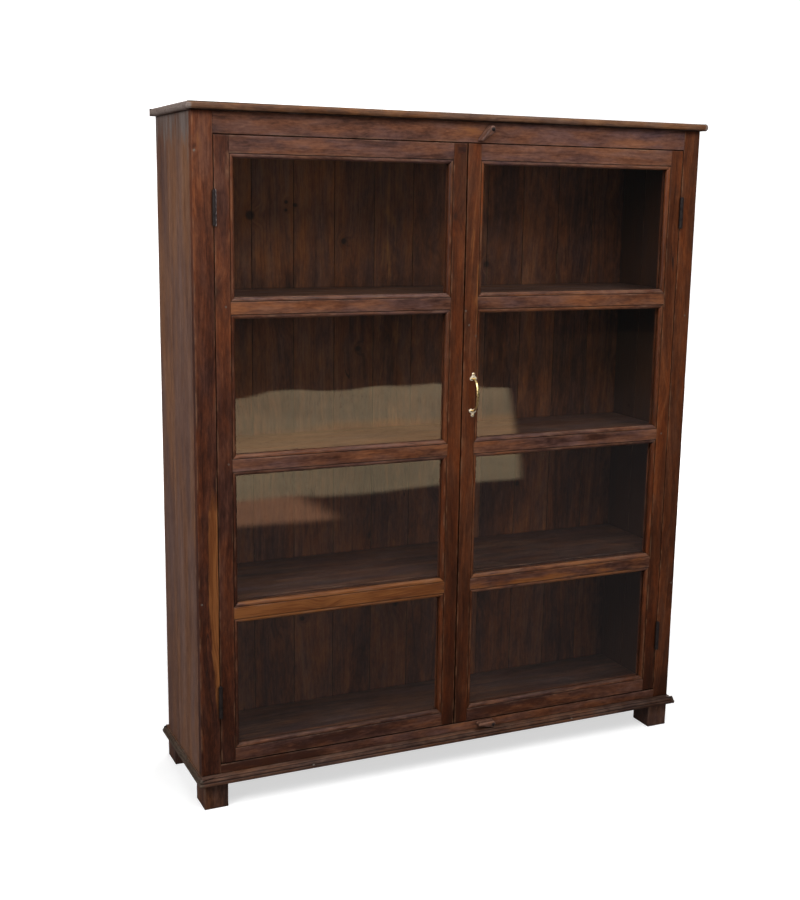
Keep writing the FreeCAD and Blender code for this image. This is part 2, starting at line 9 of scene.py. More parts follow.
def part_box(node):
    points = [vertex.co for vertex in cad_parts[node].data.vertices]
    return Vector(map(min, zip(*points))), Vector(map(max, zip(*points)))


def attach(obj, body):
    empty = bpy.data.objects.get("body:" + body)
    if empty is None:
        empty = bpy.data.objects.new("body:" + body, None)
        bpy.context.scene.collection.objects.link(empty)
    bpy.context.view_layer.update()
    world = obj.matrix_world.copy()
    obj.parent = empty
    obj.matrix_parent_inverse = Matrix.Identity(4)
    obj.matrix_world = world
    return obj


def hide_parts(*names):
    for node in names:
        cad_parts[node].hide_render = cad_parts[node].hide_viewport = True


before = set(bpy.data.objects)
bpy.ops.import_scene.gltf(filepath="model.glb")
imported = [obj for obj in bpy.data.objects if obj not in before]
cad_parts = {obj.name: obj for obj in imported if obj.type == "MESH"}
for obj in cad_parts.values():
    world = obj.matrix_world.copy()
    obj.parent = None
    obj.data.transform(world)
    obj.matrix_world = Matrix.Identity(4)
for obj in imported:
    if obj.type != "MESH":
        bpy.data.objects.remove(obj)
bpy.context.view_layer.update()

# Millimetres in the row frame, unless a name says otherwise. Blender's own unit is the metre.
MM = 0.001
front = -149
opening_half = 609
door_outer, door_inner = 607.5, 1.5
stile_flat = 34.5
bead = 10
door_thickness = 24
door_low, door_high = 107, 1533.5
pane_outer, pane_inner = 563, 46
pane_levels = ((148.8, 444.47), (492.47, 790.06), (838.06, 1141.25), (1189.25, 1486))
hinge_levels = (259.5, 1381)
hinge_half = 37.5
leaf_depth, leaf_cut, leaf_play = 20.2, 1.35, 0.2
shoulder = 4.5
step_gap = 0.05
quarter = math.pi / 2
whole_width = 1000


# Smooth noise that is the same on each run


def eased(share):
    return share * share * (3 - 2 * share)


def noise_line(seed, x):
    """Smooth noise between 0 and 1 along a line."""
    values = np.random.RandomState(seed).rand(512)
    cell = np.floor(x).astype(int)
    f = eased(x - cell)
    return values[cell % 512] * (1 - f) + values[(cell + 1) % 512] * f


def noise_plane(seed, x, y):
    """Smooth noise between 0 and 1 over a plane."""
    values = np.random.RandomState(seed).rand(64, 64)
    i, j = np.floor(x).astype(int), np.floor(y).astype(int)
    f, g = eased(x - i), eased(y - j)
    low, high = (
        values[i % 64, k % 64] * (1 - f) + values[(i + 1) % 64, k % 64] * f for k in (j, j + 1)
    )
    return low * (1 - g) + high * g


# Meshes


def circle(count):
    return np.linspace(0, 2 * math.pi, count + 1)[:-1]


def ring_faces(rings, size):
    """Quads between closed rings of points that follow each other, and a cap at each end."""
    faces = []
    for a in range(0, (rings - 1) * size, size):
        for j in range(size):
            k = (j + 1) % size
            faces.append([a + j, a + k, a + size + k, a + size + j])
    last = (rings - 1) * size
    return faces + [list(range(size))[::-1], list(range(last, last + size))]


def spaced(low, high, step, marks=()):
    """Values from low to high, about a step apart, with the marks among them."""
    values = np.linspace(low, high, max(2, int(round((high - low) / step)) + 1))
    for mark in marks:
        values = values[np.abs(values - mark) > step * 0.3]
    return np.unique(np.concatenate([values, [*marks, low, high]]))


def nick_depth(seed, length, s, nicks):
    """A few short dents along a corner."""
    rng = np.random.RandomState(seed)
    depth = np.zeros_like(s)
    for _ in range(int(length / 170)):
        at, size, wide = rng.rand() * length, rng.rand() ** 2 * 1.6, 4 + rng.rand() * 12
        depth += nicks * size * np.exp(-(((s - at) / wide) ** 2))
    return depth


def timber_shape(seed, sizes, radii, marks, edge_marks, step=9, end_radius=0.8, uneven=0.25,
                 across_step=16, nicks=0.8):
    """The points (s, u, v) of a squared timber, along, across and deep, and how worn they are.
    Its corners are worn by a radius that changes along them, and its faces are slightly uneven."""
    length, width, depth = sizes
    r = end_radius
    ends = np.array([0, 0.12 * r, 0.4 * r, r, 2.2 * r + 1])
    inner = [m for m in marks if ends[-1] < m < length - ends[-1]]
    body = spaced(ends[-1], length - ends[-1], step, inner)
    s = np.unique(np.round(np.concatenate([ends, length - ends, body]), 4))

    # Each place round the section is a corner or an edge, its number and the share along it
    corners = np.array([(0, 0), (width, 0), (width, depth), (0, depth)], float)
    starts = (0, width, width + depth, 2 * width + depth)
    places = []
    for c in range(4):
        places += [("arc", c, t, starts[c]) for t in np.linspace(0, 1, 5)]
        size = (width, depth)[c % 2]
        if size > 3.2 * shoulder:
            edge = spaced(shoulder, size - shoulder, across_step, edge_marks.get(c, ()))
            places += [("edge", c, e / size, starts[c] + e) for e in edge]

    to_end = np.minimum(s, length - s)
    rest = np.clip(r - to_end, 0, r)
    inset = r - np.sqrt(np.maximum(r * r - rest * rest, 0))
    ahead = np.array([(1, 0), (0, 1), (-1, 0), (0, -1)], float)
    out = np.roll(ahead, 1, 0)
    before = np.roll(out, 1, 0)
    moved = corners - inset[:, None, None] * (out + before)
    radius = np.empty((len(s), 4))
    for c in range(4):
        wave = 0.55 + 0.9 * noise_line(seed * 31 + c, s / 55)
        fine = 0.35 * (noise_line(seed * 37 + c, s / 13) - 0.5)
        radius[:, c] = radii[c] * (wave + fine) + nick_depth(seed * 53 + c, length, s, nicks)
    radius = np.clip(radius - inset[:, None], 0.08, shoulder * 0.9)
    points, normals, wear = [], [], []
    for kind, c, t, _ in places:
        corner = moved[:, c]
        if kind == "arc":
            start = corner - ahead[c - 1] * radius[:, c, None]
            stop = corner + ahead[c] * radius[:, c, None]
            points.append((1 - t) ** 2 * start + 2 * t * (1 - t) * corner + t * t * stop)
            normals.append(before[c] * (1 - t) + out[c] * t)
            wear.append(np.clip(radius[:, c] / 1.6, 0.25, 1) * (1 - abs(2 * t - 1) * 0.5))
        else:
            points.append(corner * (1 - t) + moved[:, (c + 1) % 4] * t)
            normals.append(out[c])
            wear.append(np.zeros(len(s)))
    points, normals = np.stack(points, 1), np.stack(normals)
    normals /= np.linalg.norm(normals, axis=1)[:, None]
    around = np.array([place[3] for place in places])
    dip = noise_plane(seed * 41, s[:, None] / 140, around[None] / 45) * 0.7
    dip += 0.3 * noise_plane(seed * 43, s[:, None] / 37, around[None] / 21)
    fade = np.clip(to_end / 12, 0, 1)[:, None]
    points -= normals[None] * (uneven * dip * (0.3 + 0.7 * fade))[..., None]
    along = np.broadcast_to(s[:, None, None], (len(s), len(places), 1))
    return np.concatenate([along, points], 2), np.stack(wear, 1)


def tree_place(seed, full, width, pith=None):
    """Where the points of a timber lie in the tree it was cut from, in metres."""
    rng = np.random.RandomState(seed * 7 + 5)
    across, deep = pith or (width * (rng.rand() * 2.2 - 0.6), 18 + 130 * rng.rand())
    return (full + np.array([rng.rand() * 9000, -across, deep])) * MM


def patches(full, spots):
    """Soft blotches: each is (s0, s1, u0, u1, softness along, softness across, strength), or for
    the whole width (s0, s1, softness along, strength)."""
    total = np.zeros(full.shape[:-1])
    s, u = full[..., 0], full[..., 1]
    for s0, s1, *sides, strength in spots:
        u0, u1, along, across = sides if len(sides) > 1 else (-whole_width, whole_width, *sides, 1)
        a = np.clip((s - s0) / along + 0.5, 0, 1) * np.clip((s1 - s) / along + 0.5, 0, 1)
        b = np.clip((u - u0) / across + 0.5, 0, 1) * np.clip((u1 - u) / across + 0.5, 0, 1)
        total += a * b * strength
    return total


# The moulded edge as (towards the pane, deep): quirk, bead, lip and rebate
bead_centre, bead_radius = np.array([3.17941887, 7.45783501]), 7.06047794
bead_turn = np.linspace(math.radians(-103.760384), math.radians(-22.551895), 10)
bead_ways = np.column_stack([np.cos(bead_turn), np.sin(bead_turn)])
moulding_section = np.concatenate([
    [(0, 24), (0, 2.2), (0.25, 1.95), (1.15, 1.95), (1.4, 1.75), (1.42, 0.95)],
    bead_centre + bead_radius * bead_ways,
    [(9.95, 5.2), (10, 6.5), (10, 10.9), (3, 11), (3, 24)],
])


class Piece:
    """Gathers the faces of one piece, with what its wood needs to know at each vertex: where it
    lies in the tree, how worn it is, how much sapwood there is, and its tone."""

    def __init__(self):
        self.points, self.faces, self.grain, self.count = [], [], [], 0
        self.looks = {"wear": [], "gold": [], "tone": []}

    def add(self, points, faces, grain=None, **looks):
        points = points.reshape(-1, 3)
        self.points.append(points)
        self.faces += [[i + self.count for i in face] for face in faces]
        self.grain.append(points * MM if grain is None else grain.reshape(-1, 3))
        for key, values in self.looks.items():
            values.append(np.broadcast_to(np.ravel(looks.get(key, 0)), len(points)))
        self.count += len(points)

    def timber(self, low, high, way, seed, radius=1.1, tone=0, gold=(), shade=(), rubs=(),
               face_painted_light=(), stain=0, pith=None, notches=(), radii=None, **options):
        """A squared timber that fills a box. The way names the row axis that each of s, u and v
        follows, such as "z x y" or "z y -x". Each notch is (s0, s1, far side or not). Gold, shade
        and rubs are patches of sapwood, of a lighter or darker tone, and of worn finish. Rubs and
        the face patches are only on the side where v is 0, and the face patches paint light and
        shade. The deep side gets painted shade, by the given amount."""
        low, high = np.sort(np.array([low, high], float), axis=0)
        axes = ["xyz".index(word[-1]) for word in way.split()]
        length, width, depth = sizes = (high - low)[axes]
        marks = [s + gap for notch in notches for s in notch[:2] for gap in (-step_gap, step_gap)]
        edge_marks = {}
        for _, _, far in notches:
            inner = leaf_depth if far else depth - leaf_depth
            edge_marks[1 if far else 3] = (inner - step_gap, inner + step_gap)
        full, wear = timber_shape(seed, sizes, radii or [radius] * 4, marks, edge_marks, **options)
        for s0, s1, far in notches:
            inside = (full[..., 0] > s0) & (full[..., 0] < s1) & (full[..., 2] < leaf_depth)
            side = full[..., 1] > width - 3 if far else full[..., 1] < 3
            full[..., 1] -= np.where(inside & side, leaf_cut if far else -leaf_cut, 0)
        points = np.empty(full.shape)
        for i, (axis, word) in enumerate(zip(axes, way.split())):
            values = full[..., i]
            points[..., axis] = high[axis] - values if "-" in word else low[axis] + values
        # Painted light and shade on the v = 0 face, and painted shade on the deep side, go into the
        # tone.
        face, deep_side = full[..., 2] < 1, full[..., 2] > depth - 1
        shades = tone + patches(full, shade) + face * patches(full, face_painted_light) - stain * deep_side
        self.add(points, ring_faces(*full.shape[:2]), tree_place(seed, full, width, pith),
                 wear=np.maximum(wear, face * patches(full, rubs)), gold=patches(full, gold),
                 tone=shades)
        return self

    def moulding(self, z0, z1, side, sign, seed, tone, gold=(), rub=1):
        """A moulded strip along one side of a pane opening, mitred at both ends. The sign is -1 on
        the right door. The lip below a pane is rubbed."""
        x0, x1 = -pane_outer, -pane_inner
        t, d = moulding_section.T
        upright = side in ("left", "right")
        low, high = (z0, z1) if upright else (x0, x1)
        edge = np.array([0, 0.6 / (high - low)])
        share = np.linspace(0, 1, max(3, int((high - low) / 11)))
        share = np.unique(np.concatenate([share, edge, 1 - edge]))
        mitre_gap = 0.12
        start, stop = low - bead + t + mitre_gap, high + bead - t - mitre_gap
        along = start + (stop - start) * share[:, None]
        uneven = 0.22 * noise_plane(seed * 3 + 1, along / 90, t[None] / 6 + d[None] / 9)
        worn = noise_plane(seed * 3 + 2, along / 34, t[None] / 5 + 7)
        crest = np.exp(-(((t - 3.2) / 2.2) ** 2)) * (d < 5)
        near_end = np.exp(-np.minimum(along - start, stop - along) / 0.5) * 0.35
        deep = d + np.where(d < 7, uneven + crest * 0.35 * worn**2 + near_end, 0)
        wide = t - np.where(t > 9, uneven * 0.5, 0)
        if side in ("left", "below"):
            across = (x0 if upright else z0) - bead + wide
        else:
            across = (x1 if upright else z1) + bead - wide
        x, z = (across, along) if upright else (along, across)
        full = np.stack([along, wide, deep], 2)
        wear = np.where((t > 2) & (t < 6) & (d < 5), 0.15 + 0.6 * worn, 0)
        if side == "below":
            wear = np.maximum(wear, np.where((t > 8.5) & (d < 7), rub * (0.3 + 0.7 * worn), 0))
        self.add(np.stack([sign * x, front + deep, z], 2), ring_faces(*along.shape),
                 tree_place(seed, full, 40), wear=wear, gold=patches(full, gold), tone=tone)

    def build(self, name, body, finish, nodes=(), sharp=38):
        mesh = bpy.data.meshes.new(name)
        mesh.from_pydata((np.concatenate(self.points) * MM).tolist(), [], self.faces)
        mesh.update()
        work = bmesh.new()
        work.from_mesh(mesh)
        bmesh.ops.recalc_face_normals(work, faces=work.faces)
        work.to_mesh(mesh)
        work.free()
        grain = mesh.attributes.new("grain", "FLOAT_VECTOR", "POINT")
        grain.data.foreach_set("vector", np.concatenate(self.grain).astype(np.float32).ravel())
        for key, values in self.looks.items():
            layer = mesh.attributes.new(key, "FLOAT", "POINT")
            layer.data.foreach_set("value", np.concatenate(values).astype(np.float32))
        mesh.shade_smooth()
        mesh.set_sharp_from_angle(angle=math.radians(sharp))
        mesh.materials.append(finishes[finish])
        piece = bpy.data.objects.new(name, mesh)
        bpy.context.scene.collection.objects.link(piece)
        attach(piece, body)
        if nodes:
            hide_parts(*nodes)

    def board(self, node, body, finish, **options):
        """The piece takes the place of a node."""
        self.build(node + "_board", body, finish, [node], **options)


# Materials


finishes = {}


class Nodes:
    """Short names for the nodes of one material or world."""

    def __init__(self, name, kind="materials"):
        finishes[name] = self.owner = getattr(bpy.data, kind).new(name)
        self.owner.use_nodes = True
        self.tree = self.owner.node_tree
        self.tree.nodes.clear()

    def node(self, kind, values=(), **settings):
        """A node with its settings, and with inputs that are linked or have a fixed value."""
        made = self.tree.nodes.new("ShaderNode" + kind)
        for key, value in settings.items():
            setattr(made, key, value)
        for key, value in values.items() if isinstance(values, dict) else enumerate(values):
            socket = made.inputs[key]
            if isinstance(value, bpy.types.NodeSocket):
                self.tree.links.new(value, socket)
            else:
                socket.default_value = (*value, 1) if socket.type == "RGBA" else value
        return made

    def attribute(self, name, socket="Fac"):
        return self.node("Attribute", attribute_name=name).outputs[socket]

    def place(self):
        return self.node("TexCoord").outputs["Object"]

    def math(self, kind, *values, clamp=False):
        return self.node("Math", values, operation=kind, use_clamp=clamp).outputs[0]

    def plus(self, a, b):
        return self.math("ADD", a, b)

    def minus(self, a, b):
        return self.math("SUBTRACT", a, b)

    def times(self, first, *others):
        for other in others:
            first = self.math("MULTIPLY", first, other)
        return first

    def times_plus(self, a, b, c, clamp=False):
        return self.math("MULTIPLY_ADD", a, b, c, clamp=clamp)

    def distance(self, a, b):
        return self.math("SQRT", self.plus(self.times(a, a), self.times(b, b)))

    def vector(self, *values):
        return self.node("CombineXYZ", values).outputs[0]

    def split(self, vector):
        return self.node("SeparateXYZ", (vector,)).outputs

    def stretched(self, vector, sizes):
        return self.node("VectorMath", (vector, sizes), operation="MULTIPLY").outputs[0]

    def noise(self, vector, scale=1, detail=2, rough=0.5):
        values = {"Vector": vector, "Scale": scale, "Detail": detail, "Roughness": rough}
        return self.node("TexNoise", values).outputs["Fac"]

    def hollows(self, distance):
        return self.node("AmbientOcclusion", {"Distance": distance}, samples=6).outputs["AO"]

    def span(self, *values, smooth=True):
        """A value brought from one range, low to high, to another one, 0 to 1 if none is given."""
        kind = "SMOOTHSTEP" if smooth else "LINEAR"
        return self.node("MapRange", values, interpolation_type=kind).outputs[0]

    def mix(self, share, a, b, kind="MIX"):
        node = self.node("Mix", {0: share, 6: a, 7: b}, data_type="RGBA", blend_type=kind)
        return node.outputs[2]

    def tint(self, share, colour, by):
        return self.mix(share, colour, by, "MULTIPLY")

    def ramp(self, value, stops):
        node = self.node("ValToRGB", (value,))
        elements = node.color_ramp.elements
        while len(elements) < len(stops):
            elements.new(0.5)
        for element, (place, colour) in zip(elements, stops):
            element.position, element.color = place, (*colour, 1)
        return node.outputs[0]

    def bump(self, height, distance, strength):
        values = {"Height": height, "Distance": distance, "Strength": strength}
        return self.node("Bump", values).outputs[0]

    def shader(self, kind, **values):
        return self.node(kind, {key.replace("_", " "): v for key, v in values.items()}).outputs[0]

    def blend(self, share, a, b):
        return self.node("MixShader", (share, a, b)).outputs[0]

    def finish(self, shader, kind="Material"):
        self.node("Output" + kind, {"Surface": shader})

    def surface(self, **values):
        self.finish(self.shader("BsdfPrincipled", **values))

    def ray_kinds(self):
        """Three shares: 1 for what the camera sees directly or through glass, 1 for what it sees
        in a glossy surface, and 1 where that surface is as clear as glass."""
        paths = self.node("LightPath").outputs
        mirrored = self.math("MINIMUM", paths["Glossy Depth"], 1)
        direct = self.math("MAXIMUM", paths["Is Camera Ray"], paths["Is Transmission Ray"])
        return self.times(direct, self.minus(1, mirrored)), mirrored, paths["Is Singular Ray"]


def wood(name, shades, sap, worn, ring=0.45, spread=0.15, rough=0.46, knots=0.9, dust=0.05,
         mottle=0.45, speck=0.45, fine_hue=0.9, knot_places=()):
    """Old waxed hardwood. The four shades run from the darkest heart lines to the lightest ones,
    sap is the sapwood, and worn is what shows where the finish has rubbed off. A smaller spread
    gives more contrast. Knots at given places are (x, z, radius) in metres."""
    m = Nodes(name)
    grain = m.attribute("grain", "Vector")
    wear, gold, tone = (m.attribute(key) for key in ("wear", "gold", "tone"))
    x, y, z = m.split(grain)

    def streaks(along, across, detail=3, rough_share=0.55, of=y):
        """Noise around 0 that is stretched along the grain."""
        place = m.vector(m.times(x, along), m.times(of, across), m.times(z, across))
        return m.minus(m.noise(place, 1, detail, rough_share), 0.5)

    cells = m.node("TexVoronoi", {"Vector": m.stretched(grain, (6.5, 10, 2)), "Scale": 1})
    off = cells.outputs["Distance"]
    pick = m.node("SeparateColor", (cells.outputs["Color"],)).outputs[0]
    there = m.span(pick, knots, knots + 0.04)
    knot, heart = m.times(m.span(off, 0.42, 0), there), m.times(m.span(off, 0.11, 0.04), there)
    if knot_places:
        here = m.split(m.place())
        for px, pz, size in knot_places:
            off = m.distance(m.minus(here[0], px), m.minus(here[2], pz))
            heart = m.math("MAXIMUM", heart, m.span(off, size, size * 0.45))
            knot = m.math("MAXIMUM", knot, m.span(off, size * 3, 0))

    # Growth rings, bent a little along the timber and round its knots
    ring_size = 0.0052
    drift = m.plus(y, m.times(streaks(1.3, 5, 1), 0.11))
    ripple = m.times(streaks(7, 22, 2), 0.011)
    bent = m.times_plus(knot, 0.03, m.plus(drift, ripple))
    radius = m.distance(bent, z)
    year = m.math("FRACT", m.math("DIVIDE", radius, ring_size))
    patchy = m.noise(m.vector(m.times(x, 2), m.times(radius, 90), 0))
    late = m.times(m.math("POWER", year, 3), m.span(year, 1, 0.9),
                   m.span(patchy, 0.35, 0.65, 0.25, 1))

    broad = streaks(1.2, 36, 2, of=radius)
    narrow = streaks(5, 120, 3, 0.6, of=radius)
    fibre = streaks(11, 420, 3, 0.62, of=bent)
    pores = m.span(streaks(24, 1300, 2, 0.6, of=bent), 0.1, 0.24)
    blotch = streaks(16, 48, 3, 0.62)
    specks = streaks(60, 190, 3, 0.68)
    cloud = streaks(2.6, 10, 2)

    value = m.times_plus(tone, 0.09, 0.5)
    for layer, share in ((broad, 0.42), (narrow, 0.5), (fibre, 0.32), (blotch, mottle),
                         (cloud, 0.32), (specks, speck)):
        value = m.times_plus(layer, share, value)
    places = (0.5 - spread, 0.5 - spread * 0.25, 0.5 + spread * 0.35, 0.5 + spread * 1.15)
    colour = m.ramp(value, list(zip(places, shades)))
    for share, sizes, reach, cool, warm in (
        (0.72, (2.6, 15), 0.14, (0.86, 0.92, 1.18), (1.22, 1.02, 0.74)),
        (fine_hue, (13, 46), 0.13, (0.9, 0.95, 1.14), (1.14, 1.02, 0.84)),
    ):
        hue = m.span(streaks(*sizes), -reach, reach)
        colour = m.tint(share, colour, m.mix(hue, cool, warm))

    sap_here = m.plus(m.times_plus(narrow, 1.1, gold), m.times(blotch, 0.8))
    sap_here = m.span(sap_here, 0.32, 0.7)
    dim_sap = tuple(v * k for v, k in zip(sap, (0.62, 0.52, 0.46)))
    sap_tone = m.mix(m.span(m.plus(fibre, narrow), -0.16, 0.12), dim_sap, sap)
    colour = m.mix(sap_here, colour, sap_tone)
    rings = m.times(late, m.times_plus(sap_here, -0.7 * ring, ring))
    colour = m.tint(rings, colour, (0.34, 0.28, 0.26))
    colour = m.tint(m.times(pores, 0.5), colour, (0.3, 0.25, 0.24))
    colour = m.tint(m.times(knot, 0.45), colour, (0.45, 0.38, 0.33))
    colour = m.mix(m.times(heart, 0.85), colour, (0.012, 0.007, 0.005))

    line = m.math("ABSOLUTE", streaks(0.8, 30, 1, of=bent))
    crack = m.times(m.span(line, 0.0035, 0.001), m.span(streaks(5, 20, 1), 0.08, 0.14))
    colour = m.mix(m.times(crack, 0.8), colour, (0.01, 0.006, 0.005))

    # Tones below -2.5 darken much more. This paints shade on the cabinet's inner faces, in the base
    # board's groove and step, and on the tongues between the back planks. It also darkens a few
    # dark specks and the darkest stile feet.
    stained = m.times(m.span(tone, -2.5, -7, smooth=False), 0.88)
    colour = m.tint(stained, colour, (0.1, 0.075, 0.07))
    scuff = m.noise(m.stretched(grain, (30, 60, 60)), 1, 3, 0.6)
    colour = m.mix(m.times(wear, m.span(scuff, 0.42, 0.66), 0.7), colour, worn)
    # Painted shade: the colour darkens in hollows, quirks and joints, found by ambient occlusion.
    painted_hollow_shade = m.span(m.math("POWER", m.hollows(0.006), 1.4), 0.12, 0.8, 0.75, 0)
    colour = m.mix(painted_hollow_shade, colour, (0.01, 0.006, 0.0045))
    up = m.split(m.node("NewGeometry").outputs["Normal"])[2]
    film = m.noise(m.stretched(grain, (9, 14, 14)), 1, 4, 0.6)
    dusty = m.times(m.span(up, 0.35, 0.95), m.span(film, 0.35, 0.7))
    colour = m.mix(m.times(dusty, dust), colour, (0.3, 0.24, 0.19))

    height = m.times_plus(late, -0.5, m.times(fibre, 0.9))
    for layer, share in ((pores, -0.6), (crack, -1.5), (scuff, 0.35)):
        height = m.times_plus(layer, share, height)
    roughness = m.times_plus(pores, 0.2, m.times_plus(cloud, 0.22, rough))
    roughness = m.times_plus(dusty, 0.25, roughness, clamp=True)
    m.surface(Base_Color=colour, Roughness=roughness, Normal=m.bump(height, 0.0007, 0.55),
              Specular_IOR_Level=0.24)


def metal(name, base, tarnish, rough, bright=1, pitted=0.4, size=260, rubbed=None,
          specular=0.5):
    """A metal with tarnish in its hollows and small pits. The upper left hinge can get a painted
    highlight: bright specks along the side of its knuckle that faces right."""
    m = Nodes(name)
    place = m.place()
    patch = m.noise(place, size * 0.35, 4, 0.6)
    dull = m.math("ADD", m.span(patch, 0.42, 0.72), m.span(m.hollows(0.004), 0.9, 0.35), clamp=True)
    colour = m.mix(m.times(dull, 0.8), base, tarnish)
    # Painted highlight: bright specks on the right-facing side of the upper left hinge's knuckle.
    if rubbed:
        facing = m.split(m.node("TexCoord").outputs["Normal"])[0]
        here = m.split(place)
        grit = m.noise(m.stretched(place, (500, 500, 170)), 1, 3, 0.6)
        side = m.times(
            m.span(facing, 0.3, 0.45), m.span(facing, 0.98, 0.86), m.span(here[0], 0.1, -0.1),
            m.span(here[2], 1.1, 1.3), m.span(grit, 0.42, 0.64),
        )
        colour = m.mix(side, colour, rubbed)
    pits = m.bump(m.noise(place, size * 4, 3, 0.6), 0.00025, pitted)
    m.surface(Base_Color=colour, Metallic=bright, Roughness=m.times_plus(dull, 0.28, rough),
              Specular_IOR_Level=specular, Normal=pits)


def clear_glass():
    """Clear glass that mirrors a little. Lamps and the light from inside pass straight through."""
    m = Nodes("glass")
    wave = m.noise(m.stretched(m.place(), (3, 3, 3)), 1, 2, 0.4)
    shader = m.shader(
        "BsdfPrincipled", Base_Color=(0.93, 0.96, 0.94), Roughness=0, IOR=1.42,
        Transmission_Weight=1, Normal=m.bump(wave, 0.004, 0.16),
    )
    paths = m.node("LightPath").outputs
    clear = m.shader("BsdfTransparent", Color=(0.965, 0.97, 0.965))
    for ray in ("Is Shadow Ray", "Is Diffuse Ray"):
        shader = m.blend(paths[ray], shader, clear)
    m.finish(shader)


def filler():
    """What fills the nail holes, paler where tone is 1."""
    m = Nodes("filler")
    spots = m.span(m.noise(m.place(), 900, 2), 0.35, 0.65)
    pale = m.mix(m.attribute("tone"), (0.115, 0.085, 0.068), (0.2, 0.165, 0.14))
    m.surface(Base_Color=m.mix(spots, (0.075, 0.048, 0.034), pale), Roughness=0.6,
              Normal=m.bump(spots, 0.0003, 0.6))


sapwood = (0.2, 0.07, 0.0185)
back_knots = ((-0.4336, 1.3615, 0.0155), (-0.3416, 1.3935, 0.006), (-0.3184, 1.3866, 0.0065),
              (-0.342, 1.3743, 0.005), (-0.19, 1.3, 0.01), (-0.15, 1.03, 0.009),
              (0.215, 1.24, 0.011), (0.33, 0.64, 0.01), (-0.3, 0.33, 0.009))
wood("front_wood", ((0.026, 0.0072, 0.003), (0.057, 0.0168, 0.0072), (0.09, 0.0285, 0.012),
     (0.142, 0.052, 0.023)), sapwood, (0.2, 0.1, 0.055), mottle=0.34, speck=0.42, spread=0.2)
wood("rail_wood", ((0.04, 0.0137, 0.007), (0.086, 0.0345, 0.019), (0.126, 0.0545, 0.0315),
     (0.184, 0.084, 0.047)), sapwood, (0.21, 0.115, 0.07), mottle=0.5, speck=0.42, spread=0.185)
wood("warm_wood", ((0.03, 0.0072, 0.0014), (0.06, 0.016, 0.004), (0.096, 0.0275, 0.0078),
     (0.142, 0.048, 0.016)), sapwood, (0.2, 0.1, 0.052), mottle=0.26, speck=0.36, spread=0.225)
wood("pale_wood", ((0.044, 0.017, 0.0105), (0.09, 0.0392, 0.0258), (0.124, 0.058, 0.0405),
     (0.17, 0.0855, 0.06)), sapwood, (0.22, 0.13, 0.085), mottle=0.42, speck=0.48, spread=0.19)
wood("side_wood", ((0.087, 0.039, 0.0225), (0.127, 0.063, 0.0378), (0.161, 0.084, 0.0515),
     (0.208, 0.117, 0.0755)), (0.158, 0.122, 0.108), (0.26, 0.15, 0.1), ring=0.25, spread=0.2,
     mottle=0.28, fine_hue=0.3)
wood("top_wood", ((0.055, 0.0235, 0.0105), (0.11, 0.051, 0.024), (0.16, 0.083, 0.0405),
     (0.215, 0.119, 0.061)), (0.235, 0.19, 0.17), (0.22, 0.13, 0.085), dust=0.1, rough=0.58,
     spread=0.2, mottle=0.32, speck=0.34)
wood("base_wood", ((0.028, 0.0108, 0.0054), (0.058, 0.0242, 0.0125), (0.09, 0.04, 0.0208),
     (0.138, 0.0655, 0.035)), (0.074, 0.052, 0.037), (0.165, 0.098, 0.066), rough=0.55,
     mottle=0.5, spread=0.2)
wood("back_wood", ((0.03, 0.011, 0.006), (0.072, 0.027, 0.014), (0.118, 0.045, 0.0215),
     (0.19, 0.076, 0.032)), (0.28, 0.11, 0.035), (0.15, 0.08, 0.04), knots=0.82, rough=0.6,
     dust=0, spread=0.235, speck=0.38, knot_places=back_knots)
wood("shelf_wood", ((0.03, 0.012, 0.007), (0.06, 0.026, 0.016), (0.09, 0.042, 0.027),
     (0.14, 0.07, 0.045)), (0.22, 0.1, 0.045), (0.16, 0.085, 0.055), rough=0.5, spread=0.21,
     mottle=0.34, speck=0.34)
wood("button_wood", ((0.026, 0.012, 0.0085), (0.058, 0.027, 0.019), (0.098, 0.05, 0.038),
     (0.16, 0.09, 0.07)), (0.2, 0.1, 0.05), (0.27, 0.165, 0.13), knots=2, mottle=0.6)
metal("brass", (0.86, 0.66, 0.3), (0.4, 0.25, 0.09), 0.25, size=420, pitted=0.2)
# Painted light: the plates use a paler, half-metallic copy of the brass, so that they show bright.
metal("lit_plate_brass", (0.86, 0.74, 0.56), (0.5, 0.36, 0.22), 0.42, bright=0.5, size=420,
      pitted=0.3)
# The iron's bright specks are a painted highlight.
metal("iron", (0.019, 0.013, 0.012), (0.008, 0.0055, 0.005), 0.55, bright=0.12, pitted=1,
      rubbed=(0.46, 0.38, 0.38), specular=0.2)
clear_glass()
filler()


# Carcass


def node_box(node):
    low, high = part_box(node)
    return np.array(low) / MM, np.array(high) / MM


def whole(node, way, finish, seed, **options):
    """One timber in the place of a node of the cabinet that is a plain board."""
    Piece().timber(*node_box(node), way, seed, **options).board(node, "cabinet", finish)


def hinge_notches(low, far):
    reach = hinge_half + leaf_play
    return [(z - reach - low, z + reach - low, far) for z in hinge_levels]


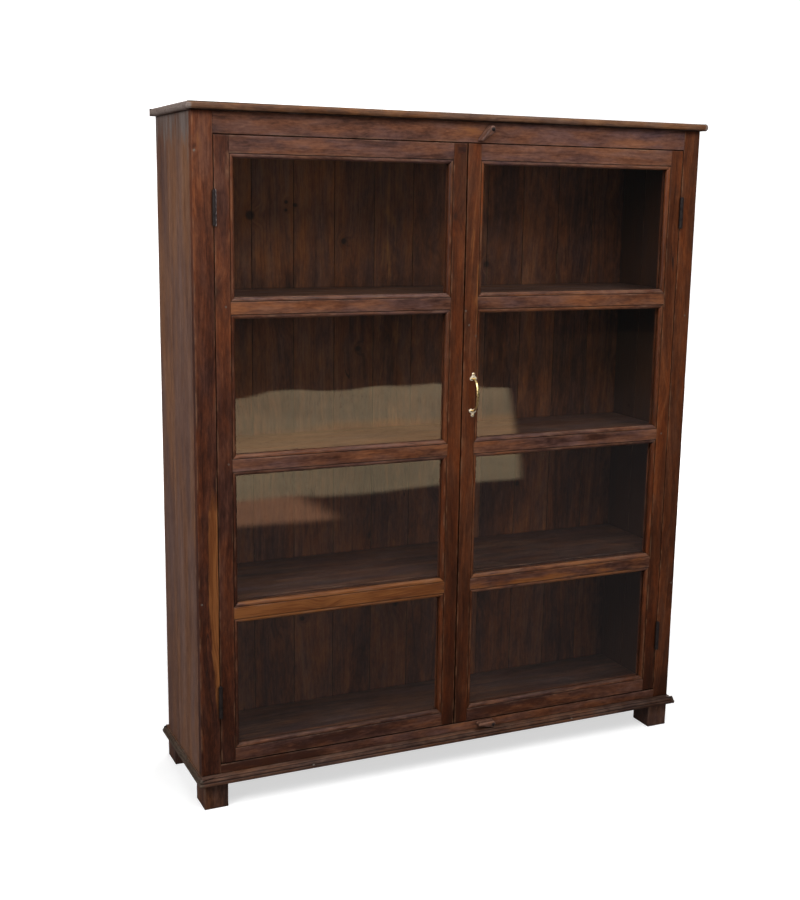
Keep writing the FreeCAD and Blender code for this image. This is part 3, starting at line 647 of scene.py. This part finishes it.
def make_sides():
    outer_thick, back_rebate = 10, 12
    # Painted light: the upper part of each side is lighter, as if lit from above. Painted shade: a
    # darker strip along the front edge, and the inner faces, which are inside the cabinet.
    upper, front_edge_shade = (750, 1600, 500), (-100, 1600, -10, 9, 10, 8, -0.9)
    film = [(1380, 1600, 150, 0.42), (1460, 1600, 50, 0.3)]
    common = dict(across_step=20, step=12, gold=film)
    for side, way, seed in (("left", "z y x", 11), ("right", "z y -x", 14)):
        name = "side_board_" + side
        whole(name + "_front", way, "side_wood", seed, radius=1.3, tone=0.05, stain=6.5,
              shade=[(*upper, 0.6), front_edge_shade], **common)
        low, high = node_box(name + "_back")
        outer, inner = (low[0], high[0]) if side == "left" else (high[0], low[0])
        split = outer + math.copysign(outer_thick, inner - outer)
        piece = Piece()
        piece.timber((outer, *low[1:]), (split, *high[1:]), way, seed + 1, tone=-0.5,
                     radii=[0.9, 1.6, 0.2, 0.2], shade=[(*upper, 0.5)], **common)
        piece.timber((split, *low[1:]), (inner, high[1] - back_rebate, high[2]), way,
                     seed + 1, radius=0.3, tone=-0.2, stain=6, across_step=30, step=30)
        piece.board(name + "_back", "cabinet", "side_wood")


def make_face_frame():
    rail_thick, tenon, tenon_inset = 22, 30, 5
    # Painted shadow under the top board, at the top of both stiles.
    shadow_under_top = (1494, 1600, 12, -1.5)
    stiles = (
        ("left", "front_wood", 21, dict(
            tone=0.1, pith=(-30, 60),
            gold=[(390, 630, 23, 60, 130, 7, 1), (600, 760, 31, 60, 130, 9, 0.36),
                  (250, 420, 28, 60, 100, 6, 0.9), (140, 290, 35, 60, 90, 5, 0.7),
                  (1370, 1520, 0, 46, 120, 20, 0.34)],
            shade=[(1330, 1500, 160, 1), (-300, 620, 500, -2.1),
                   shadow_under_top, (1425, 1431, 1, 10, 5, 4, -4), (1412, 1416, 8, 14, 5, 4, -3),
                   (1403, 1407, 2, 5, 5, 4, -2.5)])),
        ("right", "warm_wood", 22, dict(
            tone=0.35, gold=[(1100, 1500, 0, 20, 200, 14, 0.25)],
            shade=[(700, 1494, 500, 0.7), shadow_under_top, (-200, 60, 60, -2)])),
    )
    for side, finish, seed, look in stiles:
        node = "face_stile_" + side
        notches = hinge_notches(node_box(node)[0][2], side == "left")
        whole(node, "z x y", finish, seed, radius=1.3, step=8, across_step=8,
              notches=notches, **look)
    rails = (
        ("top", "pale_wood", 1535.5, 1583, 23, dict(
            tone=-1.1,
            gold=[(560, 720, 4, 44, 120, 16, 0.34), (300, 470, 24, 44, 90, 14, 0.24),
                  (900, 1010, 6, 30, 90, 14, 0.26), (110, 200, 10, 40, 80, 16, 0.2)],
            # Painted light on the right part of the top rail, and painted shadow on its top strip
            # under the top board.
            shade=[(450, 1400, 300, 1.15), (-20, 1400, 42, 70, 10, 13, -0.4)])),
        ("bottom", "rail_wood", 82, 104, 24, dict(tone=-0.9)),
    )
    for name, finish, z0, z1, seed, look in rails:
        piece = Piece()
        piece.timber((-opening_half, front, z0), (opening_half, front + rail_thick, z1), "x z y",
                     seed, radius=1, step=9, across_step=8, end_radius=0.4, **look)
        for sign in (-1, 1):
            piece.timber((sign * opening_half, front + 7, z0 + tenon_inset),
                         (sign * (opening_half + tenon), front + 15, z1 - tenon_inset), "x z y",
                         seed + 100, radius=0.3, step=15)
        piece.board("face_rail_" + name, "cabinet", finish)


def rim_board(name, profile, seed, tone, back_square, shade):
    """A board whose edge profile runs round its rim. The profile is (inset, height, wear, tone)
    from the bottom up. The outline has rounded corners, and the ends have weathered grey."""
    low, high = node_box(name)
    corner, square_corner = 3, 0.6
    corners = np.array([(low[0], low[1]), (high[0], low[1]), (high[0], high[1]), (low[0], high[1])])
    outline, normals = [], []
    for i, way in enumerate([(-1, -1), (1, -1), (1, 1), (-1, 1)]):
        r = square_corner if back_square and way[1] > 0 else corner
        for a in np.linspace((i - 2) * quarter, (i - 1) * quarter, 7):
            normals.append((math.cos(a), math.sin(a)))
            outline.append(corners[i] - np.array(way) * r + np.array(normals[-1]) * r)
        run = corners[(i + 1) % 4] - corners[i]
        wide = np.abs(run).sum()
        for e in spaced(corner + 4, wide - corner - 4, 10):
            normals.append([(0, -1), (1, 0), (0, 1), (-1, 0)][i])
            outline.append(corners[i] + run * e / wide)
    outline, normals = np.array(outline), np.array(normals, float)
    around = np.concatenate([[0], np.cumsum(np.linalg.norm(np.diff(outline, axis=0), axis=1))])
    wave = noise_line(seed * 5 + 1, around / 70) * 0.5
    wave += noise_line(seed * 5 + 2, around / 19) * 0.25
    rng = np.random.RandomState(seed)
    dents = np.zeros_like(around)
    for _ in range(60):
        at, size, wide = rng.rand() * around[-1], rng.rand() ** 3, 5 + 10 * rng.rand()
        dents += size * 1.1 * np.exp(-(((around - at) / wide) ** 2))
    flush = np.where(normals[:, 1] > 0.99, 0, 1) if back_square else 1
    worn = 0.4 + 0.9 * noise_line(seed * 5 + 3, around / 26)
    rings, wears, tones = [], [], []
    for inset, rise, rub, dark in profile:
        amount = (inset + wave * 0.6 + dents * rub * 1.6) * flush
        z = np.clip(low[2] + rise - (wave * 0.5 + dents * 0.8) * rub, low[2], high[2])
        rings.append(np.column_stack([outline - normals * amount[:, None], z]))
        wears.append(rub * worn)
        tones.append(np.full(len(outline), dark))
    points, count = np.concatenate(rings), len(outline)
    full = np.stack([points[:, 0] - low[0], points[:, 1] - low[1], high[2] - points[:, 2]], 1)
    wide = high[0] - low[0]
    ends = [(-20, 9, 14, 0.9), (wide - 9, wide + 20, 14, 0.9)]
    piece = Piece()
    piece.add(points, ring_faces(len(rings), count)[:-1],
              tree_place(seed, full, high[1] - low[1], pith=(90, 70)),
              wear=np.concatenate(wears), gold=patches(full, ends),
              tone=tone + patches(full, shade) + np.concatenate(tones))
    # The upper face fills the last ring
    work = bmesh.new()
    verts = [work.verts.new(p) for p in rings[-1]]
    edges = [work.edges.new((verts[i - 1], verts[i])) for i in (*range(1, count), 0)]
    bmesh.ops.contextual_create(work, geom=edges)
    bmesh.ops.triangulate(work, faces=work.faces)
    index = {v: i for i, v in enumerate(work.verts, len(points) - count)}
    piece.faces += [[index[v] for v in face.verts] for face in work.faces]
    work.free()
    piece.board(name, "cabinet", name.replace("board", "wood"), sharp=50)


def round_over(radius, rise, rub, way=1, start=0, height=None):
    """Part of a rim profile: a quarter round at the top, or at the bottom if way is -1."""
    return [
        (start + radius * (1 - math.cos(t)), rise + way * (height or radius) * math.sin(t), rub, 0)
        for t in np.linspace(0, quarter, 7)
    ]


def make_rim_boards():
    lower, upper = round_over(8, 8, 0.15, -1)[::-1], round_over(7, 10, 0.25)
    # The top board's front edge is lighter on its right part: painted light.
    rim_board("top_board", lower + [(0, 9, 0.2, 0)] + upper, 31, -0.3, True,
              [(-20, 9, 14, 1.5), (-20, 1400, -10, 14, 10, 16, -0.7),
               (700, 1400, -10, 14, 500, 16, 0.9)])
    # The last value of each ring is a tone that paints light and shade on the base board: darker
    # rings paint shade along its bottom edge, in its groove and in the step below its top, and
    # lighter rings paint a highlight along the top edge.
    edge = [(2.2, 0, 0.1, -1.5), (0.8, 0.7, 0.2, -0.8), (0, 2, 0.3, 0), (0, 6.4, 0.3, 0.2),
            (0.5, 7.6, 0.4, 0.3), (1.3, 8.3, 0.1, -1.5), (3, 8.5, 0, -4), (3.2, 9.7, 0, -4),
            (3.1, 10, 0.1, -1.5)]
    hump = round_over(4.6, 10.4, 0.35, start=3.2, height=4.5)
    fillet = [(8.3, 15, 0, -3), (8.5, 15.3, 0, -3), (8.6, 16.9, 0.45, 0.6),
              (9.2, 17.7, 0.55, 1.3), (10.4, 18, 0.4, 0.8)]
    rim_board("base_board", edge + hump + fillet, 32, 0.2, False,
              [(500, 1500, 700, -1.3), (1150, 1500, 300, -0.6)])


def make_feet():
    places = [row + side for row in ("front_", "back_") for side in ("left", "right")]
    for seed, place in enumerate(places, 41):
        whole("foot_" + place, "z x y", "base_wood", seed, radius=2.2, step=6,
              across_step=10, end_radius=1.5, uneven=0.7, nicks=1.8, tone=-0.15, pith=(20, 25))


def make_inside():
    # Painted shade: the floor board and the lower shelf are darker on their right part.
    whole("floor_board", "x y -z", "shelf_wood", 51, tone=0.1, step=16,
          shade=[(1050, 1400, 300, -1.3)])
    shelves = ("shelf_lower", "shelf_middle", "shelf_upper")
    for seed, name in enumerate(shelves, 52):
        darker = [(600, 1400, 200, -1.2)] if name == "shelf_lower" else []
        whole(name, "x y -z", "shelf_wood", seed, step=14, radius=1.3, shade=darker)

    low, high = node_box("back_planks")
    pitch, gap = (high[0] - low[0]) / 12, 0.5
    tongue, tongue_inset = 4, 3.5
    piece = Piece()
    for i, tone in enumerate((0.5, 0.8, 1, 1.4, 0.8, 1.1, 0.6, 1, -0.2, 0.4, -0.5, 0)):
        left = low[0] + i * pitch
        # Painted light and shade on the planks' front faces: lighter near the top, with darker
        # bands and darker lower parts on some planks, most on those behind the left door.
        dark, dim = -1 if i in (2, 6) else 0, -0.5 if i in (3, 4, 5) else 0
        piece.timber((left + gap, *low[1:]), (left + pitch - gap, *high[1:]), "z x y", 61 + i,
                     tone=tone, step=14, across_step=15,
                     gold=[(300, 1500, 10, 90, 200, 40, 0.35)] if i in (5, 7) else [],
                     face_painted_light=[(1225, 1500, 180, 0.8 if i < 6 else 0.2),
                                 (1020, 1130, 60, -0.9 if i < 6 else 0),
                                 (1020, 1140, 60, 1.1 * dark),
                                 (-50, 480, 90, dark),
                                 (-50, 400, 90, dim)])
        # The tongues between the planks get a very dark tone: painted shade in the gaps.
        if i:
            piece.timber((left - tongue, low[1] + tongue_inset, low[2] + 1),
                         (left + tongue, high[1] - tongue_inset, high[2] - 1), "z x y", 161 + i,
                         radius=0.3, tone=-3, step=60, uneven=0, nicks=0)
    piece.build("back_plank_boards", "cabinet", "back_wood", ["back_planks"])

    cleat_high, cleat_front, cleat_back = 22, -100.8, 144.5
    piece = Piece()
    for number, shelf in enumerate(shelves):
        under = node_box(shelf)[0][2]
        for right, (x0, x1, way) in enumerate(((-636, -618, "y z -x"), (618, 636, "y z x"))):
            piece.timber((x0, cleat_front, under - cleat_high), (x1, cleat_back, under), way,
                         81 + 2 * number + right, radius=1, step=14)
    piece.build("shelf_cleat_strips", "cabinet", "shelf_wood", ["shelf_cleats"])


# Doors


# For each stile: its wood, its tone, and its patches
low_dark, foot_dark = (-200, 400, 300, -1.5), (-200, 60, 60, -1.8)
stile_looks = {
    ("left", "hinge_stile"): ("front_wood", -0.3, dict(
        shade=[(-200, 400, 300, -0.45), (740, 980, 120, -0.7),
               (1080, 1400, 100, 0.3)],
        rubs=[(1315, 1332, -9, 3, 10, 6, 1), (1340, 1410, 28, 40, 20, 5, 0.9)])),
    ("left", "meeting_stile"): ("warm_wood", 0.3, dict(shade=[low_dark])),
    ("right", "hinge_stile"): ("warm_wood", 0.15, dict(shade=[low_dark, foot_dark])),
    ("right", "meeting_stile"): ("warm_wood", 0.75, dict(
        gold=[(600, 1420, 0, 40, 300, 20, 0.2), (1000, 1150, -9, 3, 30, 4, 0.8)],
        shade=[low_dark, foot_dark],
        rubs=[(880, 1010, 30, 40, 40, 5, 0.8), (640, 760, 30, 40, 40, 5, 0.5)])),
}
rail_names = ("bottom_rail", "lower_rail", "middle_rail", "upper_rail", "top_rail")
rail_ends = [door_low, *(z for pane in pane_levels for z in pane), door_high]
rail_tones = {"left": (-0.6, 0.5, 0.5, 0.3, -0.7), "right": (-0.8, 0, 0.1, 0, 0.1)}
rail_gold = {
    ("left", "lower_rail"): [(0, 560, 60, 0.8)],
    ("left", "upper_rail"): [(330, 560, 4, 28, 150, 10, 0.24)],
    ("right", "upper_rail"): [(60, 230, 6, 30, 100, 12, 0.3)],
    ("right", "top_rail"): [(160, 330, 4, 24, 120, 12, 0.22)],
    ("right", "lower_rail"): [(0, 560, 60, 0.4), (250, 540, 0, 14, 100, 8, 0.2)],
}


def make_door(side, sign, seed):
    """A door frame, each part with its strips of moulding. Places are those of the left door,
    and a sign of -1 mirrors them."""
    body = "door_" + side
    across = "x" if sign > 0 else "-x"
    back = front + door_thickness
    strip_tones = (0.9, 0.4, 0, 0)
    left, right = stile_flat - door_outer, -door_inner - stile_flat
    stiles = (("hinge_stile", -door_outer, "left"), ("meeting_stile", right, "right"))
    for number, (name, a, edge) in enumerate(stiles):
        finish, tone, look = stile_looks[side, name]
        notches = hinge_notches(door_low, False) if edge == "left" else ()
        piece = Piece()
        piece.timber((sign * a, front, door_low), (sign * (a + stile_flat), back, door_high),
                     "z " + across + " y", seed + number, radius=1.2, tone=tone, step=8,
                     across_step=7, notches=notches, **look)
        for level, (z0, z1) in enumerate(pane_levels):
            piece.moulding(z0, z1, edge, sign, seed + 10 + number * 4 + level,
                           tone + 0.1 - strip_tones[level])
        piece.board(body + "_" + name, body, finish)

    way, tenon_inset = across + " z y", 5
    for number, name in enumerate(rail_names):
        z0, z1 = rail_ends[2 * number:2 * number + 2]
        tone, gold = rail_tones[side][number], rail_gold.get((side, name), [])
        bottom, top = name == "bottom_rail", name == "top_rail"
        z0, z1 = z0 + bead * (not bottom), z1 - bead * (not top)
        piece = Piece()
        piece.timber((sign * left, front, z0), (sign * right, back, z1), way, seed + 30 + number,
                     radius=1, tone=tone, gold=gold, step=8, across_step=7, end_radius=0.35)
        for a, b in ((0.1 - door_outer, left), (right, -door_inner - 0.1)):
            piece.timber((sign * a, front + 8, z0 + tenon_inset),
                         (sign * b, front + 16, z1 - tenon_inset), way, seed + 50 + number,
                         radius=0.3, step=15, tone=tone, end_radius=0.3, uneven=0)
        strips = [] if bottom else [(pane_levels[number - 1], "above", 0)]
        strips += [] if top else [(pane_levels[number], "below", 1)]
        for pane, edge, more in strips:
            piece.moulding(*pane, edge, sign, seed + 60 + number * 2 + more,
                           tone + (-0.9 if bottom else 0.1),
                           [(-560, 0, 60, g[-1]) for g in gold[:1]],
                           0.45 if bottom else 1)
        piece.board(body + "_" + name, body, "pale_wood" if top else "rail_wood")
    make_panes(body, sign, seed)


def make_panes(body, sign, seed):
    """Slightly uneven sheets of glass, and the strips that hold them from behind."""
    rebate, faces_behind = 6, (11.2, 14.2)
    xs = np.linspace(-pane_outer - rebate, -pane_inner + rebate, 34)
    for number, (z0, z1) in enumerate(pane_levels, 1):
        zs = np.linspace(z0 - rebate, z1 + rebate, 20)
        gx, gz = np.meshgrid(xs, zs)
        inner = np.minimum.reduce([gx - xs[0], xs[-1] - gx, gz - zs[0], zs[-1] - gz]) > 1
        grid = np.arange(gx.size).reshape(gx.shape)
        points, faces = [], []
        for layer, behind in enumerate(faces_behind):
            swell = 0.12 * noise_plane(seed + number * 9 + layer, gx / 130 + 50, gz / 90) * inner
            depth = front + behind + (-swell if layer else swell)
            points.append(np.stack([sign * gx, depth, gz], 2).reshape(-1, 3))
            g = grid + layer * gx.size
            quads = np.stack([g[:-1, :-1], g[:-1, 1:], g[1:, 1:], g[1:, :-1]], 2)
            faces += quads.reshape(-1, 4).tolist()
        rim = np.concatenate([grid[0], grid[1:, -1], grid[-1, -2::-1], grid[-2:0:-1, 0]])
        ahead = np.roll(rim, -1)
        faces += np.stack([rim, ahead, ahead + gx.size, rim + gx.size], 1).tolist()
        piece = Piece()
        piece.add(np.concatenate(points), faces)
        node = body + "_glass_" + str(number)
        piece.build(node + "_pane", body, "glass", [node])

    reach, wide, gap = 6.85, 6.5, 0.15
    left, right = -pane_outer - reach, -pane_inner + reach
    y0, y1 = front + 14.4, front + door_thickness
    piece = Piece()
    for level, (z0, z1) in enumerate(pane_levels):
        low, high = z0 - reach, z1 + reach
        strips = (
            (left, left + wide, low, high, "z x y"), (right - wide, right, low, high, "z x y"),
            (left + wide + gap, right - wide - gap, low, low + wide, "x z y"),
            (left + wide + gap, right - wide - gap, high - wide, high, "x z y"),
        )
        for k, (a, b, c, d, way) in enumerate(strips):
            piece.timber((sign * a, y0, c), (sign * b, y1, d), way, seed + 80 + level * 4 + k,
                         radius=0.7, step=18, nicks=0.2)
    piece.build(body + "_glazing_strips", body, "front_wood", [body + "_glazing_beads"])


# Turn buttons, pull and nails


def make_button(name, x, z, turn):
    """A whittled teardrop. Its tail points down when turn is 0, and to the left as turn grows."""
    head, tip, reach, lift = 9.5, 4.5, 36, 0.3
    rest = quarter - math.asin((head - tip) / reach)

    def arc(x_off, radius, start, stop, count):
        a = np.linspace(start, stop, count)
        return np.column_stack([x_off + radius * np.cos(a), radius * np.sin(a)])

    head_arc, tip_arc = arc(0, head, rest, 2 * math.pi - rest, 26), arc(reach, tip, -rest, rest, 14)
    share = np.linspace(0, 1, 9)[1:-1, None]
    outline = np.concatenate([
        head_arc, head_arc[-1] + (tip_arc[0] - head_arc[-1]) * share,
        tip_arc, tip_arc[-1] + (head_arc[0] - tip_arc[-1]) * share,
    ])
    along = outline[:, :1]
    centre = np.array([reach * 0.4, 0])
    inward = centre * np.clip(along / centre[0], 0, 2.2) - outline
    size = np.maximum(np.linalg.norm(inward, axis=1)[:, None], 1e-6)
    profile = ((0, 0.1, 0.1), (0.3, 5, 0.1), (0.5, 10, 0.3), (0.9, 13.6, 0.5),
               (1.9, 15.4, 0.9), (3.6, 16.4, 0.5), (6.5, 16.9, 0.2))
    rings, wear = [], []
    for k, (inset, rise, rub) in enumerate(profile, 1):
        uneven = 0.35 * noise_plane(int(abs(x)) + 3, along / 6 + 9, np.full(along.shape, k * 0.7))
        ring = outline + inward / size * (np.minimum(inset, size * 0.9) + uneven)
        rings.append(np.column_stack([ring, np.full(len(ring), rise - 0.15 * k / 7)]))
        wear.append(np.full(len(ring), rub))
    u, w, rise = np.concatenate(rings).T
    heading = math.radians(-90 - turn)
    c, s = math.cos(heading), math.sin(heading)
    points = np.column_stack([x + u * c - w * s, front - lift - rise, z + u * s + w * c])
    piece = Piece()
    piece.add(points, ring_faces(len(rings), len(outline)),
              np.column_stack([u + x * 13, w - 14, rise + 12]) * MM, wear=np.concatenate(wear))
    piece.build(name + "_block", name, "button_wood", [name])


def make_pull():
    """A cast pull: a bow that thickens to its middle and has two collars, on lobed plates."""
    x, z_mid, half, projection = 29.09, 945, 39, 30
    foot, foot_radius, neck = 1.2, 2.3, 2.35
    rise = projection - 3.3 - foot
    a = np.linspace(0, math.pi, 49)
    bow = np.sin(a)
    centre = np.column_stack([x + 0 * a, front - foot - rise * bow, z_mid - half * np.cos(a)])
    tangent = np.column_stack([0 * a, -rise * np.cos(a), half * bow])
    tangent /= np.linalg.norm(tangent, axis=1)[:, None]
    out = np.cross(tangent, [1, 0, 0])
    middle = np.exp(-(((a - quarter) / 0.5) ** 2))
    collar = sum(np.exp(-(((a - c) / 0.05) ** 2)) for c in (0.75, math.pi - 0.75))
    wide = neck + 0.85 * bow + 0.35 * middle + 0.55 * collar
    thick = neck + 0.55 * bow + 0.35 * collar
    wide[[0, -1]] = thick[[0, -1]] = foot_radius
    t = circle(20)[:, None]
    points = centre[:, None] + wide[:, None, None] * np.cos(t) * np.array([1, 0, 0])
    points += thick[:, None, None] * np.sin(t) * out[:, None]
    points[..., 1] = np.clip(points[..., 1], front - projection, front)
    piece = Piece()
    piece.add(points, ring_faces(*points.shape[:2]))
    piece.build("door_pull_bow", "door_right", "brass", ["door_pull"], sharp=60)

    centre = np.array([0, 3.63])
    t = circle(72)
    ways = np.column_stack([np.cos(t), np.sin(t)])
    reach = np.zeros(len(t))
    for lx, lz, r in ((-4.6, 0, 5), (4.6, 0, 5), (0, 11, 4), (0, 3.63, 5.4)):
        lobe = np.array([lx, lz]) - centre
        along = ways @ lobe
        off = r * r - (lobe @ lobe - along**2)
        reach = np.maximum(reach, np.where(off > 0, along + np.sqrt(np.maximum(off, 0)), 0))
    piece = Piece()
    for way in (1, -1):
        rings = []
        for share, rise in ((1, 0), (1, 1.1), (0.965, 1.7), (0.9, 2.1), (0.78, 2.35), (0.4, 2.4)):
            u, w = (centre + ways * (reach * share)[:, None]).T
            rings.append(np.column_stack([x + u, front - rise + 0 * u, z_mid + way * (half + w)]))
        piece.add(np.concatenate(rings), ring_faces(len(rings), len(t)))
    piece.build("door_pull_plates", "door_right", "lit_plate_brass", sharp=60)


def make_nail_heads():
    """Filled nail holes at the joints, pale at the very top and on the base board's edge."""
    high, low, edge_behind, proud = 1490, 80, -22.3, 0.17
    holes = {
        "cabinet": ((-649.6, 1499.8), (-648.2, 498.6), (641, 1121), (648, 402),
                    (-386.1, 72.6), (336.9, 71.6)),
        "door_left": ((-583.9, 1168.8), (-582, 818)),
        "door_right": ((4.9, 1146.9), (14.5, 1113.4), (33, 1086.4), (588, 815)),
    }
    section = ((1.9, -1.2), (1.9, 0), (1.55, 0.12), (0.9, 0.15), (0.35, 0.05))
    turn, seed = circle(16), 400
    for body, places in holes.items():
        piece = Piece()
        for x, z in places:
            wobble = (1 + 0.4 * noise_line(seed, turn * 2.2)) * (1.45 if z > high else 1.2)
            y = front + proud + (edge_behind if z < low else 0)
            rings = [
                np.column_stack([x + radius * wobble * np.cos(turn), y - rise + 0 * turn,
                                 z + radius * wobble * np.sin(turn)])
                for radius, rise in section
            ]
            piece.add(np.concatenate(rings), ring_faces(len(rings), len(turn)),
                      tone=float(not low < z < high))
            seed += 1
        piece.build(body + "_filled_holes", body, "filler")


def make_patch():
    """A let-in piece at the top of the left door's meeting stile."""
    piece = Piece()
    piece.timber((-25.6, front + 0.02, 1509.5), (-4.2, front + 3, 1533.2), "x z y", 95,
                 radius=0.7, tone=-0.9, step=3, across_step=5, end_radius=0.6, uneven=0.1,
                 nicks=0.2)
    piece.build("door_left_let_in_patch", "door_left", "front_wood")


def dress_metal():
    """The hinges and screws keep their solids, with the right metal."""
    for name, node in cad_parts.items():
        hinge = "hinge_" in name and any(word in name for word in ("leaves", "pins", "screws"))
        if hinge or name in ("turn_button_screws", "door_pull_screws"):
            node.data.materials.clear()
            node.data.materials.append(finishes["brass" if "pull" in name else "iron"])


# Stage


def paper():
    """Paper that shows as white with the cabinet's soft shadow. It lights the cabinet as a mid
    grey, and the panes mirror it as the dim ground that they face in the photograph."""
    m = Nodes("paper")
    place = m.place()
    x, y, _ = m.split(place)
    away = m.node("VectorMath", (place,), operation="LENGTH").outputs["Value"]
    glow = m.mix(m.span(away, 0.8, 2.6), (0.6, 0.6, 0.6), (1, 1, 1))
    lit = m.shader("BsdfDiffuse", Color=(0.62, 0.62, 0.62))
    shown = m.node("AddShader", (lit, m.shader("Emission", Color=glow))).outputs[0]
    grey = m.shader("BsdfDiffuse", Color=(0.3, 0.29, 0.28))
    direct, mirrored, clear = m.ray_kinds()

    # Painted reflection: mirrored rays see the paper glow as a dim ground, and clear glass also
    # sees a glowing patch painted as lit ground, with an uneven border, warmer at its far side,
    # and a lit corner near by.
    slant = m.times_plus(y, 0.534, x)
    across = m.times(m.span(x, -1.4, -0.2), m.span(slant, 0.29, 0.2))
    border = m.times_plus(m.noise(place, 2.2, 3), 0.2, m.times(x, 0.01))
    nearer = m.plus(m.span(x, 1.6, 1.25, 0, 0.16), m.span(x, 2.9, 3.2, 0, 0.32))
    edge = m.plus(y, m.minus(border, nearer))
    band = m.times(m.span(edge, -6.09, -5.96), m.span(y, -2.94, -3.06))
    uneven = m.span(m.noise(place, 1.1, 2), 0.25, 0.7, 0.75, 1)
    warmth = m.times(m.span(edge, -4.8, -4.5), m.span(y, -3.6, -3.9))
    painted_sunlit_glow = m.mix(warmth, (1.96, 1.52, 0.97), (2.6, 1.6, 0.86))
    dim = m.mix(m.span(y, -6.8, -3), (0.1, 0.078, 0.066), (0.15, 0.125, 0.125))
    corner = m.times(m.span(x, 0.72, 0.56), m.span(y, -2.5, -2.64), m.span(y, -3.2, -3.05), clear)
    dim = m.mix(corner, dim, (1.85, 0.95, 0.58))
    ground = m.shader("Emission", Color=m.mix(m.times(across, band, uneven, clear), dim, painted_sunlit_glow))
    m.finish(m.blend(direct, m.blend(mirrored, grey, ground), shown))


def studio_world():
    """White for the camera, an even dim light for the wood, and for mirroring surfaces a sky that
    is dark near the ground."""
    m = Nodes("studio", "worlds")
    up = m.split(m.node("TexCoord").outputs["Generated"])[2]
    sky = m.span(up, 0.08, 0.7, 0.05, 0.55, smooth=False)
    direct, mirrored, _ = m.ray_kinds()
    strength = m.span(mirrored, 0, 1, 0.27, sky, smooth=False)
    strength = m.span(direct, 0, 1, strength, 1, smooth=False)
    m.finish(m.shader("Background", Color=(1, 1, 1), Strength=strength), "World")


def make_stage():
    scene = bpy.context.scene
    half, near, bend, radius, top = 9, -9, 2.6, 1.6, 7
    turns = np.linspace(0, quarter, 13)[1:]
    profile = [(near, 0), (bend, 0)]
    profile += [(bend + radius * math.sin(t), radius * (1 - math.cos(t))) for t in turns]
    profile.append((bend + radius, top))
    points = [(x, y, z) for y, z in profile for x in (-half, half)]
    faces = [[2 * i, 2 * i + 1, 2 * i + 3, 2 * i + 2] for i in range(len(profile) - 1)]
    mesh = bpy.data.meshes.new("paper_sweep")
    mesh.from_pydata(points, [], faces)
    mesh.shade_smooth()
    paper()
    mesh.materials.append(finishes["paper"])
    sweep = bpy.data.objects.new("paper_sweep", mesh)
    scene.collection.objects.link(sweep)

    studio_world()
    scene.world = finishes["studio"]
    lamps = (
        ("overhead", (0.1, -1.9, 3.1), (0, -0.1, 1.1), 2.8, 1.6, 54),
        ("key", (-4, -1.7, 2.9), (0, 0, 0.9), 2.4, 2.4, 132),
        ("front_fill", (1.1, -4.2, 1), (0, 0, 0.8), 3, 2, 26),
        ("rear_fill", (2.6, 3.3, 2.6), (0, 0, 0.9), 2.4, 2, 95),
    )
    for name, place, target, wide, high, power in lamps:
        data = bpy.data.lights.new(name, "AREA")
        data.shape = "RECTANGLE"
        data.size, data.size_y, data.energy = wide, high, power
        lamp = bpy.data.objects.new(name, data)
        scene.collection.objects.link(lamp)
        lamp.location = place
        lamp.rotation_mode = "QUATERNION"
        lamp.rotation_quaternion = (Vector(target) - Vector(place)).to_track_quat("-Z", "Y")
        lamp.visible_camera = lamp.visible_transmission = False
        lamp.visible_glossy = name != "front_fill"

    # The place, turn and lens of the camera that was fitted to the photograph
    data = bpy.data.cameras.new("camera")
    data.lens, data.sensor_width = 50.64, 36
    camera = bpy.data.objects.new("camera", data)
    scene.collection.objects.link(camera)
    camera.matrix_world = Matrix.Translation((-1.3887, -2.8202, 1.406))
    for degrees, axis in ((-24.67, "Z"), (78.769, "X"), (0.879, "Z")):
        camera.matrix_world = camera.matrix_world @ Matrix.Rotation(math.radians(degrees), 4, axis)
    scene.camera = camera
    scene.view_settings.view_transform = "Standard"


make_sides()
make_face_frame()
make_rim_boards()
make_feet()
make_inside()
make_door("left", 1, 200)
make_door("right", -1, 300)
make_button("turn_button_top", 56, 1566, 48)
make_button("turn_button_bottom", 104, 93, 95)
make_pull()
make_nail_heads()
make_patch()
dress_metal()
make_stage()
